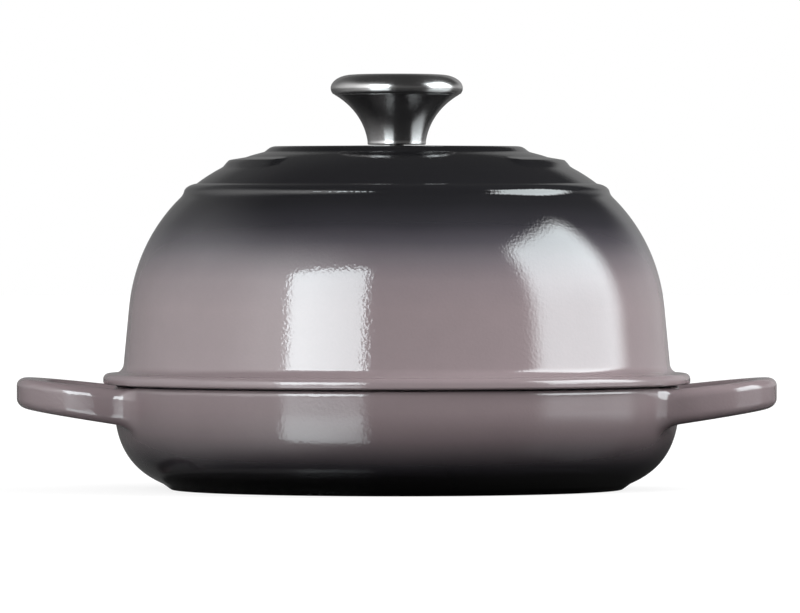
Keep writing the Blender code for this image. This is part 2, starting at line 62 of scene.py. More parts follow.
camera = bpy.data.objects.new("studio_camera", bpy.data.cameras.new("studio_camera"))
bpy.context.collection.objects.link(camera)
camera.data.sensor_width = SENSOR_WIDTH
camera.data.lens = LENS
camera.data.clip_end = 100.0
camera.location = CAMERA_PLACE
camera.rotation_mode = "QUATERNION"
camera.rotation_quaternion = (CAMERA_TARGET - CAMERA_PLACE).to_track_quat("-Z", "Y")
bpy.context.scene.camera = camera
bpy.context.scene.view_settings.view_transform = "Standard"
print("camera distance in metres:", round((CAMERA_TARGET - CAMERA_PLACE).length, 2))

# %% [markdown]
# ## Profiles
#
# Almost everything on this oven was turned or cast round one axis, so its shape is a profile: points of
# radius and height that run round the section. Corners of iron under enamel are always rounded, so the
# profile is made of straights, arcs and eased curves with very fine steps.

# %% Arcs, rounded corners and eased curves
QUARTER = np.pi / 2


def arc(centre, across, up, start, end, steps=32):
    """Part of an ellipse: the centre plus the half axes times the cosine and sine of each angle."""
    turn = np.radians(np.linspace(start, end, steps + 1))
    return np.column_stack([centre[0] + across * np.cos(turn), centre[1] + up * np.sin(turn)])


def fillet(before, corner, after, radius):
    """A rounded corner: the circle that touches both lines, with its centre between them."""
    before, corner, after = (np.asarray(point, float) for point in (before, corner, after))
    back, ahead = before - corner, after - corner
    back_length, ahead_length = np.linalg.norm(back), np.linalg.norm(ahead)
    back, ahead = back / back_length, ahead / ahead_length
    half = np.arccos(back @ ahead) / 2
    setback = min(radius / np.tan(half), 0.48 * back_length, 0.48 * ahead_length)
    middle = (back + ahead) / np.linalg.norm(back + ahead)
    centre = corner + middle * setback / np.cos(half)
    first, last = corner + back * setback - centre, corner + ahead * setback - centre
    start, end = (np.degrees(np.arctan2(point[1], point[0])) for point in (first, last))
    turn = (end - start + 180) % 360 - 180
    return arc(centre, np.linalg.norm(first), np.linalg.norm(first), start, start + turn)


def rounded(points, *radii):
    """A chain of straights whose corners, all but the two end points, are rounded by a radius each."""
    return joined(*[fillet(*corner) for corner in zip(points, points[1:], points[2:], radii)])


def cubic(start, first, second, end, t):
    """Four control points blended with the weights (1-t)^3, 3(1-t)^2 t, 3(1-t) t^2 and t^3."""
    return start * (1 - t) ** 3 + first * 3 * (1 - t) ** 2 * t + second * 3 * (1 - t) * t**2 + end * t**3


def eased(start, leaving, start_pull, end, arriving, end_pull, inset=0.0, steps=120):
    """A cubic curve between two points with a heading and a pull at each, moved sideways by the inset."""
    start, end = np.asarray(start, float), np.asarray(end, float)
    chord = np.linalg.norm(end - start)
    first = start + start_pull * chord * np.array([np.cos(leaving), np.sin(leaving)])
    second = end - end_pull * chord * np.array([np.cos(arriving), np.sin(arriving)])
    t = np.linspace(0, 1, steps + 1)[:, None]
    points = cubic(start, first, second, end, t)
    slope = (first - start) * (1 - t) ** 2 + (second - first) * 2 * (1 - t) * t + (end - second) * t**2
    slope /= np.linalg.norm(slope, axis=1)[:, None]
    return points + inset * np.column_stack([slope[:, 1], -slope[:, 0]])


def along(profile):
    """Length along a profile at each of its points: the running sum of its steps."""
    return np.append(0, np.cumsum(np.linalg.norm(np.diff(profile, axis=0), axis=1)))


def at(profile, places, lengths=None):
    """Points of a profile at given lengths along it, or along the line that the lengths come from."""
    lengths = along(profile) if lengths is None else lengths
    return np.stack([np.interp(places, lengths, profile[:, axis]) for axis in (0, 1)], axis=-1)


def row_places(profile, longest, sharpest):
    """Where a profile gets its rows: no step is longer, and none turns more degrees, than the limits.

    Each small step costs its length over the longest plus its turn over the sharpest. The rows stand
    where the running cost passes whole numbers, so they crowd where the profile bends.
    """
    steps = np.diff(profile, axis=0)
    lengths = np.linalg.norm(steps, axis=1)
    heading = np.unwrap(np.arctan2(steps[:, 1], steps[:, 0]))
    turn = np.abs(np.gradient(np.degrees(heading))) if len(heading) > 1 else np.zeros(1)
    cost = np.append(0, np.cumsum(lengths / longest + turn / sharpest))
    return np.interp(np.linspace(0, cost[-1], int(np.ceil(cost[-1])) + 1), cost, along(profile))


def thinned(places, start):
    """Rows without every second one from a length on, for a plain inside that needs fewer."""
    return np.append(places[places < start], places[places >= start][::2])


def joined(*parts):
    """One profile from points and curves in order, without points that repeat."""
    points = np.vstack([np.atleast_2d(np.asarray(part, float)) for part in parts])
    keep = np.append(True, np.linalg.norm(np.diff(points, axis=0), axis=1) > 1e-7)
    return points[keep]


print("a rounded corner has", len(fillet((0, 0), (1, 0), (1, 1), 0.2)), "points")

# %% [markdown]
# ## From a grid of points to a mesh
#
# A grid of points becomes a skin of quads between neighbours. Where a profile reaches the axis, the row
# there is one single vertex with a fan of triangles, so the pole is closed and clean. The volume that
# the faces enclose is positive when they face outwards, which is how the sides are told apart.

# %% Grids, poles and meshes


def lattice(rows, columns, closed_rows=False):
    """Corner numbers of the quads of a grid whose columns close on themselves."""
    row = np.arange(rows if closed_rows else rows - 1)[:, None]
    column = np.arange(columns)[None, :]
    following_row = (row + 1) % rows
    following_column = (column + 1) % columns
    corners = (
        row * columns + column,
        row * columns + following_column,
        following_row * columns + following_column,
        following_row * columns + column,
    )
    return np.stack(corners, axis=-1)


def fan(pole, ring, flip):
    """Triangles between a pole and the closed ring of vertices round it."""
    following = np.roll(ring, -1)
    if flip:
        ring, following = following, ring
    return np.column_stack([np.full(len(ring), pole), ring, following])


def pole_fans(first_pole, grid_count, columns):
    """Fans that close both ends of a grid, round the first pole and round the vertex after it."""
    ring = np.arange(columns)
    last_ring = grid_count - columns + ring
    return np.vstack([fan(first_pole, ring, True), fan(first_pole + 1, last_ring, False)])


def enclosed(points, faces):
    """Volume inside a closed skin: a sixth of the sum of each triangle's triple product."""
    corners = points[faces]
    volume = 0.0
    for second in range(1, faces.shape[1] - 1):
        a, b, c = corners[:, 0], corners[:, second], corners[:, second + 1]
        volume += np.einsum("ij,ij->i", a, np.cross(b, c)).sum() / 6
    return volume


def make_mesh(name, points, quads, triangles, finishes, finish_of_quad=None, finish_of_triangle=None):
    """A smooth mesh object at the origin, with its faces turned outwards and a finish for each face."""
    quads = np.asarray(quads).reshape(-1, 4)
    triangles = np.asarray(triangles, int).reshape(-1, 3)
    volume = enclosed(points, quads) + (enclosed(points, triangles) if len(triangles) else 0)
    if volume < 0:
        quads, triangles = quads[:, ::-1], triangles[:, ::-1]
    mesh = bpy.data.meshes.new(name)
    mesh.from_pydata(points.tolist(), [], quads.tolist() + triangles.tolist())
    for finish in finishes:
        mesh.materials.append(finish)
    if finish_of_quad is not None:
        indices = np.concatenate([finish_of_quad, finish_of_triangle]).astype(np.int32)
        mesh.polygons.foreach_set("material_index", indices)
    mesh.shade_smooth()
    mesh.update()
    made = bpy.data.objects.new(name, mesh)
    bpy.context.collection.objects.link(made)
    print(f"{name}: {2 * len(quads) + len(triangles)} triangles, {abs(volume) * 1e6:.1f} cm3")
    return made


def turned_points(section, angles):
    """Points turned about Z: x and y are the radius times the cosine and sine of the angle."""
    radius, height = section[..., 0], section[..., 1]
    flat = np.zeros_like(angles)
    return np.stack([radius * np.cos(angles), radius * np.sin(angles), height + flat], axis=-1)


def turned(name, profile, columns, finishes, longest=1.5 * MM, sharpest=9.0, base=0.0):
    """A solid turned about Z from a profile that runs from axis to axis, or that closes on itself."""
    places = row_places(profile, longest, sharpest)
    rows = at(profile, places) + (0, base)
    closed = np.linalg.norm(rows[0] - rows[-1]) < 1e-6
    angles = np.linspace(0, 2 * np.pi, columns, endpoint=False)
    if closed:
        points = turned_points(rows[:-1, None], angles).reshape(-1, 3)
        return make_mesh(name, points, lattice(len(rows) - 1, columns, True), [], finishes)
    inner = rows[1:-1]
    points = turned_points(inner[:, None], angles).reshape(-1, 3)
    poles = np.array([[0, 0, rows[0, 1]], [0, 0, rows[-1, 1]]])
    triangles = pole_fans(len(points), len(points), columns)
    return make_mesh(name, np.vstack([points, poles]), lattice(len(inner), columns), triangles, finishes)


print("a 3 by 4 grid has", lattice(3, 4).reshape(-1, 4).shape[0], "quads")

# %% [markdown]
# ## Writing materials as sums
#
# A material is a net of nodes. Here a small class wraps a socket, so that a mask such as
# `1 - height * 20` is written as plain arithmetic, and each operator adds its Math node. Every other
# node comes from one method that takes the node's type, its settings and its inputs.

# %% A socket that can be added and multiplied


class Value:
    """A number that changes over a surface. Each operator on it adds one Math node."""

    def __init__(self, graph, socket):
        self.graph = graph
        self.socket = socket

    def math(self, operation, *inputs):
        return self.graph.node("ShaderNodeMath", {"operation": operation}, dict(enumerate(inputs)))

    def __add__(self, other):
        return self.math("ADD", self, other)

    def __sub__(self, other):
        return self.math("SUBTRACT", self, other)

    def __rsub__(self, other):
        return self.math("SUBTRACT", other, self)

    def __mul__(self, other):
        return self.math("MULTIPLY", self, other)

    def __truediv__(self, other):
        return self.math("DIVIDE", self, other)

    def __pow__(self, other):
        return self.math("POWER", self, other)

    def least(self, other):
        return self.math("MINIMUM", self, other)

    def most(self, other):
        return self.math("MAXIMUM", self, other)

    __radd__ = __add__
    __rmul__ = __mul__


class Graph:
    """The nodes of one material or of the world."""

    def __init__(self, tree):
        self.tree = tree
        self.tree.nodes.clear()

    def node(self, kind, settings=None, inputs=None, output=0):
        """Add a node: its settings first, then a value or a link for each named or numbered input."""
        made = self.tree.nodes.new(kind)
        for name, setting in (settings or {}).items():
            if name == "stops":
                self.set_stops(made.color_ramp, setting)
            else:
                setattr(made, name, setting)
        for name, given in (inputs or {}).items():
            if isinstance(given, Value):
                self.tree.links.new(given.socket, made.inputs[name])
            else:
                made.inputs[name].default_value = given
        return Value(self, made.outputs[output]) if made.outputs else None

    def set_stops(self, ramp, stops):
        """Give a colour ramp its stops, each a place from 0 to 1 and a colour."""
        while len(ramp.elements) < len(stops):
            ramp.elements.new(0.5)
        for element, (place, colour) in zip(ramp.elements, stops):
            element.position = place
            element.color = (*colour, 1.0)

    def step(self, value, low, high):
        """0 below low, 1 above high, and a smooth slope between them."""
        settings = {"interpolation_type": "SMOOTHSTEP"}
        return self.node("ShaderNodeMapRange", settings, {"Value": value, "From Min": low, "From Max": high})

    def split(self, vector):
        """The x, y and z of a vector as three values."""
        return [self.node("ShaderNodeSeparateXYZ", None, {0: vector}, output=axis) for axis in range(3)]

    def coordinates(self):
        """Object coordinates, and their x, y and z as three values."""
        where = self.node("ShaderNodeTexCoord", output="Object")
        return where, self.split(where)

    def noise(self, where, scale, detail=2.0, roughness=0.5):
        """Smooth noise from 0 to 1, with about scale bumps to the metre."""
        given = {"Vector": where, "Scale": scale, "Detail": detail, "Roughness": roughness}
        return self.node("ShaderNodeTexNoise", None, given)

    def mixed(self, share, first, second, blend="MIX"):
        """Two colours mixed by a share, or blended by another rule of the Mix node."""
        settings = {"data_type": "RGBA", "blend_type": blend}
        return self.node("ShaderNodeMix", settings, {0: share, 6: first, 7: second}, output=2)

    def grey(self, tone):
        """A grey colour from one value."""
        return self.node("ShaderNodeCombineXYZ", None, {0: tone, 1: tone, 2: tone})

    def bumped(self, height, depth, below=None):
        """A normal bent by a height from 0 to 1 that stands for the depth in metres."""
        inputs = {"Height": height, "Distance": depth, "Strength": 1.0}
        if below is not None:
            inputs["Normal"] = below
        return self.node("ShaderNodeBump", None, inputs)


def new_finish(name):
    """A material, its graph, and nothing else in it."""
    made = bpy.data.materials.new(name)
    made.use_nodes = True
    return made, Graph(made.node_tree)


def finish_with(graph, inputs):
    """Close a material with a Principled shader that has the given inputs."""
    shader = graph.node("ShaderNodeBsdfPrincipled", None, inputs)
    graph.node("ShaderNodeOutputMaterial", None, {"Surface": shader})


def linear(red, green, blue):
    """A screen colour from 0 to 255 as the light that the shader works with."""
    share = np.array([red, green, blue]) / 255
    return tuple(np.where(share <= 0.04045, share / 12.92, ((share + 0.055) / 1.055) ** 2.4).tolist())


print("a middle grey of 128 is", round(linear(128, 128, 128)[0], 3), "as light")

# %% [markdown]
# ## The glossy enamel
#
# Vitreous enamel is glass melted onto iron in thin coats. On this oven the outside fades from mauve
# grey, where pan and lid meet, to almost black at the crown and at the foot: the dark coat is sprayed
# on last and thins out. The glass has a fine orange peel, which frays the edge of every reflection,
# and faint clouds in its colour. A height that is slightly disturbed by noise picks the colour, and a
# shallow bump makes the peel.

# %% Mix the two shaded enamels
PEEL_SCALE = 800.0
PEEL_DEPTH = 0.05 * MM
CLOUD_SCALE = 26.0
CLOUD_SHIFT = 3.0 * MM
GRAIN_SCALE = 900.0
MOTTLE_SCALE = 90.0
SWELL_SCALE = 75.0
SWELL_DEPTH = 0.012 * MM
GLASS_INDEX = 1.75


def glossy_enamel(name, low, high, stops):
    """Shaded enamel between two heights: the height, disturbed by clouds of noise, picks the shade."""
    made, graph = new_finish(name)
    where, (_, _, z) = graph.coordinates()
    cloud = graph.noise(where, CLOUD_SCALE, 3.0)
    disturbed = z + (cloud - 0.5) * CLOUD_SHIFT
    share = graph.node(
        "ShaderNodeMapRange", None, {"Value": disturbed, "From Min": low, "From Max": high}
    )
    shade = graph.node("ShaderNodeValToRGB", {"stops": stops}, {0: share})
    grain = graph.noise(where, GRAIN_SCALE, 2.0)
    mottle = graph.noise(where, MOTTLE_SCALE, 4.0, 0.6)
    tone = 0.94 + mottle * 0.08 + grain * 0.04
    toned = graph.mixed(1.0, shade, graph.grey(tone), "MULTIPLY")
    peel = graph.noise(where, PEEL_SCALE, 2.0, 0.45)
    swell = graph.noise(where, SWELL_SCALE, 1.0)
    normal = graph.bumped(swell, SWELL_DEPTH, graph.bumped(peel, PEEL_DEPTH))
    roughness = 0.045 + mottle * 0.03
    finish_with(graph, {"Base Color": toned, "Roughness": roughness, "Normal": normal, "IOR": GLASS_INDEX})
    return made


PAN_HEIGHT = 44.6 * MM
LID_BASE = 44.9 * MM
LID_HEIGHT = 103.3 * MM
PAN_SHADES = [
    (0.00, linear(2, 2, 2)),
    (0.10, linear(4, 4, 4)),
    (0.19, linear(14, 13, 15)),
    (0.28, linear(36, 34, 38)),
    (0.40, linear(72, 66, 69)),
    (0.57, linear(106, 95, 98)),
    (0.80, linear(130, 117, 120)),
    (1.00, linear(140, 127, 130)),
]
LID_SHADES = [
    (0.00, linear(144, 131, 134)),
    (0.32, linear(143, 130, 133)),
    (0.44, linear(132, 121, 125)),
    (0.53, linear(108, 102, 107)),
    (0.60, linear(76, 73, 79)),
    (0.67, linear(48, 47, 52)),
    (0.76, linear(30, 30, 33)),
    (1.00, linear(22, 22, 24)),
]
pan_enamel = glossy_enamel("pan_enamel", 0.0, PAN_HEIGHT, PAN_SHADES)
lid_enamel = glossy_enamel("lid_enamel", LID_BASE, LID_BASE + LID_HEIGHT, LID_SHADES)
print("shades on the pan and the lid:", len(PAN_SHADES), len(LID_SHADES))

# %% [markdown]
# ## The matt black inside
#
# Inside, such an oven has a satin black enamel with a fine grain that holds oil, rough enough to spread
# every reflection. It also covers the bare rims, where glossy glass would chip.

# %% Mix the matt black enamel


def matt_enamel(name):
    """Satin black enamel: a fine grain, duller where it stands up, over a slowly uneven colour."""
    made, graph = new_finish(name)
    where, _ = graph.coordinates()
    grain = graph.noise(where, 1400.0, 3.0, 0.65)
    patches = graph.noise(where, 60.0, 3.0)
    colour = graph.mixed(patches, (*linear(20, 19, 19), 1.0), (*linear(34, 32, 31), 1.0))
    normal = graph.bumped(grain, 0.05 * MM)
    roughness = 0.42 + grain * 0.16
    finish_with(graph, {"Base Color": colour, "Roughness": roughness, "Normal": normal, "IOR": 1.5})
    return made


matt_black = matt_enamel("matt_black_enamel")
print("inside finish:", matt_black.name)

# %% [markdown]
# ## Sizes of the castings
#
# These are the sizes of the frame, in metres. Some places are drawn otherwise than in the plain solids:
# the pan's rim, the roots of the handles, the flange's edges, the steps on the crown and the knob's
# rolled edge. The pan's heights start at the table and the lid's at the underside of its flange.

# %% Name the sizes of the pan
PAN_RADIUS = 121.9 * MM
PAN_WALL = 4.4 * MM
PAN_FLOOR = 5.0 * MM
PAN_DRAFT = np.radians(1.2)
RIM_WIDTH = 1.1 * MM
RIM_DEPTH = 2.0 * MM
RIM_INNER_ROUND = 1.1 * MM
BOWL_HEIGHT = 33.4 * MM
BOWL_INSET = 20.9 * MM
BOWL_SLOPE = np.radians(24)
FOOT_HEIGHT = 2.6 * MM
FOOT_INSET = 3.6 * MM
FOOT_WIDTH = 9.0 * MM
FOOT_ROUND = 1.5 * MM
FOOT_RECESS = 0.8 * MM
RIDGE_COUNT = 5
FIRST_RIDGE_RADIUS = 22.0 * MM
RIDGE_SPACING = 14.5 * MM
RIDGE_WIDTH = 4.2 * MM
RIDGE_HEIGHT = 1.2 * MM
WALL_TOP = FOOT_HEIGHT + BOWL_HEIGHT
BOWL_RADIUS = PAN_RADIUS - (PAN_HEIGHT - WALL_TOP) * np.tan(PAN_DRAFT)
print("inner width of the pan in millimetres:", round(2000 * (PAN_RADIUS - PAN_WALL), 1))

# %% [markdown]
# ## The pan's bowl
#
# The bowl is one profile, from the axis under the pan, round the foot and the wall, over the rim and
# down to the ridged baking floor. The ridges keep the loaf's base off the hot iron. They are raised
# cosines, so they rise and fall without a crease, as poured iron does.

# %% Draw the pan's profile


def bowl_side(inset=0.0):
    """The bowl's outside, or its inside with an inset, from the straight wall down to the foot."""
    foot = (BOWL_RADIUS - BOWL_INSET, FOOT_HEIGHT)
    return eased(
        (BOWL_RADIUS, WALL_TOP), -QUARTER - PAN_DRAFT, 0.582, foot, np.pi + BOWL_SLOPE, 0.216, inset
    )


def ridged_floor(edge):
    """The floor from its edge to the axis: a raised cosine stands on each ridge's radius."""
    radius = np.linspace(edge, 0, 900)
    height = np.full_like(radius, PAN_FLOOR)
    for ridge in range(RIDGE_COUNT):
        away = np.abs(radius - FIRST_RIDGE_RADIUS - ridge * RIDGE_SPACING) / (RIDGE_WIDTH / 2)
        height += np.where(away < 1, RIDGE_HEIGHT * (0.5 + 0.5 * np.cos(np.pi * away)), 0)
    return np.column_stack([radius, height])


def pan_profile():
    """Section of the pan from axis to axis."""
    outside = bowl_side()[::-1]
    inside = bowl_side(PAN_WALL)
    foot_radius = outside[0][0] - FOOT_INSET
    recess_radius = foot_radius - FOOT_WIDTH
    outer_edge, inner_edge = (PAN_RADIUS, PAN_HEIGHT), (PAN_RADIUS - PAN_WALL, PAN_HEIGHT)
    floor_edge = (inside[-1][0] - (inside[-1][1] - PAN_FLOOR) / np.tan(BOWL_SLOPE), PAN_FLOOR)
    floor_round = fillet(inside[-1], floor_edge, (0, PAN_FLOOR), 12.0 * MM)
    middle, recess_edge = (0, FOOT_RECESS), (recess_radius - FOOT_RECESS, FOOT_RECESS)
    foot = [middle, recess_edge, (recess_radius, 0), (foot_radius, 0), outside[0], outside[12]]
    return joined(
        middle,
        rounded(foot, 0.5 * MM, 0.5 * MM, FOOT_ROUND, 1.2 * MM),
        outside[12:],
        arc((PAN_RADIUS - RIM_WIDTH, PAN_HEIGHT - RIM_DEPTH), RIM_WIDTH, RIM_DEPTH, 0, 90),
        fillet(outer_edge, inner_edge, inside[0], RIM_INNER_ROUND),
        inside,
        floor_round,
        ridged_floor(floor_round[-1][0]),
    )


PAN_LINE = pan_profile()
print("the pan's profile is", round(1000 * along(PAN_LINE)[-1]), "millimetres long")

# %% [markdown]
# ## The loop handles
#
# Each handle is one bar that leaves the wall, curves round and comes back, poured in one with the pan.
# Its root must flow out of the wall with no line between them, and so it can't be a tube pushed into
# the bowl. Instead the wall's grid leaves a rectangle of quads out where a leg stands. Rings of
# vertices lead from the rectangle's edge, along the wall, up a fillet and out along the bar to the
# other leg, so that pan and handles are a single closed skin.
#
# The bar's section is a rounded oblong. Each of its points is known by two shares: across, from -1 on
# the side of the other leg to 1, and up, from 0 to 1.

# %% Draw the bar's section
HANDLE_REACH = 41.8 * MM
HANDLE_SPAN = 91.0 * MM
HANDLE_BAR = 10.4 * MM
HANDLE_FULLNESS = 2.4
HANDLE_BAR_ROUND = 4.2 * MM
HANDLE_ROOT_HEIGHT = 15.05 * MM
HANDLE_TOP_DROP = 0.4 * MM
HANDLE_TOP_SLOPE = 0.106
HANDLE_UNDERSIDE_SLOPE = 0.155
LEG_PLACE = (HANDLE_SPAN - HANDLE_BAR) / 2


def handle_slope(up):
    """How fast the handle rises away from the pan, from its underside (0) to its top (1)."""
    return HANDLE_UNDERSIDE_SLOPE + up * (HANDLE_TOP_SLOPE - HANDLE_UNDERSIDE_SLOPE)


def handle_height(reach, up):
    """Height of the handle at a distance from the axis: a height at the wall plus slope times distance."""
    root = PAN_HEIGHT - HANDLE_TOP_DROP - HANDLE_ROOT_HEIGHT * (1 - up)
    return root + (reach - PAN_RADIUS) * handle_slope(up)


def bar_section(level_count, upright_count):
    """Shares and outward directions round the bar, with as many steps a side as the rectangle has.

    A side runs from the middle of one corner's arc to the middle of the next. Its points are evenly
    spaced, and their direction turns through 45 degrees on each half arc.
    """
    half_width, half_height = HANDLE_BAR / 2, HANDLE_ROOT_HEIGHT / 2
    half_arc = HANDLE_BAR_ROUND * QUARTER / 2
    shares, directions = [], []
    sides = [(level_count, half_width, half_height), (upright_count, half_height, half_width)] * 2
    for quarter, (count, half_length, offset) in enumerate(sides, -1):
        facing = quarter * QUARTER
        straight = half_length - HANDLE_BAR_ROUND
        place = np.linspace(-straight - half_arc, straight + half_arc, count, endpoint=False)
        beyond = np.sign(place) * np.maximum(np.abs(place) - straight, 0)
        turn = beyond / HANDLE_BAR_ROUND
        sideways = np.clip(place, -straight, straight) + HANDLE_BAR_ROUND * np.sin(turn)
        outwards = offset - HANDLE_BAR_ROUND * (1 - np.cos(turn))
        cosine, sine = np.cos(facing), np.sin(facing)
        across = outwards * cosine - sideways * sine
        upwards = outwards * sine + sideways * cosine
        shares.append(np.column_stack([across / half_width, 0.5 + upwards / (2 * half_height)]))
        directions.append(np.column_stack([np.cos(facing + turn), np.sin(facing + turn)]))
    return np.vstack(shares), np.vstack(directions)


print("the bar's section of 8 and 20 steps has", len(bar_section(8, 20)[0]), "points")

# %% [markdown]
# The fillet is widest beside the leg, less below it, and narrow above, where the leg's top runs almost
# level out of the rim. On the wall it begins as a ring round the leg, and on the leg it ends a similar
# distance out. Between them each point follows a cubic curve that leaves the wall along the wall and
# reaches the leg along the leg, which is what makes the light flow over the join.

# %% Lead rings of vertices from the wall out along the bar
SPREAD_SIDE, SPREAD_BELOW, SPREAD_ABOVE = 9.0 * MM, 5.0 * MM, 1.6 * MM
CLIMB_SIDE, CLIMB_BELOW, CLIMB_ABOVE = 9.5 * MM, 7.0 * MM, 6.0 * MM
FILLET_PULL = 0.62
FILLET_RINGS = 11
GRIP_SECTIONS = 46
LOOP_START = np.radians(6)


def by_direction(directions, side, below, above):
    """A size that goes smoothly from its value at the side to those below and above."""
    level, upright = directions[:, 0], directions[:, 1]
    return side * level**2 + above * np.maximum(upright, 0) ** 2 + below * np.minimum(upright, 0) ** 2


def wall_points(angles, places):
    """Points on the pan's skin at an angle and at a length along its profile."""
    return turned_points(at(PAN_LINE, places), angles)


def loop_rows(across, up, count):
    """Sections of the bar along its loop, evenly spaced: an oval that is fuller than an ellipse.

    On its outer edge the powers of the shares of the reach and of half the span add up to 1. With a turn
    t, from 0 at the leg to 90 degrees in the middle of the grip, those shares are sin(t)^(2/power) and
    cos(t)^(2/power). Each point of the section stands back from the edge along the edge's normal.
    """
    power, half_span = HANDLE_FULLNESS, HANDLE_SPAN / 2
    turn = np.linspace(LOOP_START, QUARTER, 3000)
    out, side = np.sin(turn) ** (2 / power), np.clip(np.cos(turn), 0, None) ** (2 / power)
    edge = np.column_stack([PAN_RADIUS + HANDLE_REACH * out, half_span * side])
    facing = np.column_stack([out ** (power - 1) / HANDLE_REACH, side ** (power - 1) / half_span])
    facing /= np.linalg.norm(facing, axis=1)[:, None]
    lengths = along(edge)
    places = np.linspace(0, lengths[-1], count)
    edge, facing = at(edge, places, lengths), at(facing, places, lengths)
    back = (1 - across) * HANDLE_BAR / 2
    plan = edge[:, None, :] - facing[:, None, :] * back[None, :, None]
    return np.dstack([plan, handle_height(plan[..., 0], up[None, :])])


def leg_rows(border_angles, border_places, level_count, upright_count):
    """Rows of points from the rectangle's edge in the wall to the middle of the grip, for the leg at +Y."""
    shares, directions = bar_section(level_count, upright_count)
    across, up = shares[:, 0], shares[:, 1]
    y = LEG_PLACE + across * HANDLE_BAR / 2
    lengths = along(PAN_LINE)
    rim = np.argmax(PAN_LINE[:, 1])
    start = np.argmin(np.abs(PAN_LINE[:rim, 1] - 8 * MM))
    rising, rising_lengths = PAN_LINE[start:rim], lengths[start:rim]
    z = handle_height(np.sqrt(PAN_RADIUS**2 - y**2), up)
    places = np.interp(z, rising[:, 1], rising_lengths)
    radius = at(PAN_LINE, places)[:, 0]
    root_x = np.sqrt(radius**2 - y**2)
    spread = by_direction(directions, SPREAD_SIDE, SPREAD_BELOW, SPREAD_ABOVE)
    ring_angles = np.arcsin(y / radius) + spread * directions[:, 0] / radius
    ring_places = places + spread * directions[:, 1]
    ring = wall_points(ring_angles, ring_places)
    shift = 0.05 * MM
    tangent = ring - wall_points(
        ring_angles + shift * directions[:, 0] / radius, ring_places + shift * directions[:, 1]
    )
    tangent /= np.linalg.norm(tangent, axis=1)[:, None]
    climb = by_direction(directions, CLIMB_SIDE, CLIMB_BELOW, CLIMB_ABOVE)
    leg_x = root_x + climb
    leg = np.column_stack([leg_x, y, handle_height(leg_x, up)])
    leg_direction = np.column_stack([np.ones_like(y), np.zeros_like(y), handle_slope(up)])
    rows = [
        wall_points(
            border_angles + (ring_angles - border_angles) * share,
            border_places + (ring_places - border_places) * share,
        )
        for share in (0, 0.35, 0.7)
    ]
    first = ring + tangent * (FILLET_PULL * spread)[:, None]
    second = leg - leg_direction * (FILLET_PULL * climb)[:, None]
    rows.extend(cubic(ring, first, second, leg, t) for t in np.linspace(0, 1, FILLET_RINGS))
    loop = loop_rows(across, up, GRIP_SECTIONS)
    rows.extend(leg + (loop[0] - leg) * share for share in (0.34, 0.67))
    rows.extend(loop)
    return np.array(rows)


print("rows from wall to grip start", round(1000 * LEG_PLACE, 1), "millimetres from the middle")

# %% [markdown]
# Now the skin is put together. The wall's columns are counted from the middle of the right handle, so
# a rectangle and its mirror image have the same columns with the sign changed, and the left handle is
# the right one turned through half a circle.

# %% Build the pan
PAN_COLUMNS = 320
HOLE_FIRST_COLUMN = 9
HOLE_LAST_COLUMN = 26
HOLE_BOTTOM = 20.5 * MM
HOLE_TOP_RADIUS = PAN_RADIUS - RIM_WIDTH - 0.3 * MM


def hole_border(first_row, last_row, first_column, last_column):
    """Grid places round a rectangle, in the same order as the bar's section: below, outer, above, inner."""
    level = np.arange(first_column, last_column)
    upright = np.arange(first_row, last_row)
    rows = [np.full(len(level), first_row), upright, np.full(len(level), last_row), upright[::-1] + 1]
    far_side, near_side = (np.full(len(upright), column) for column in (last_column, first_column))
    columns = [level, far_side, level[::-1] + 1, near_side]
    return np.concatenate(rows), np.concatenate(columns)


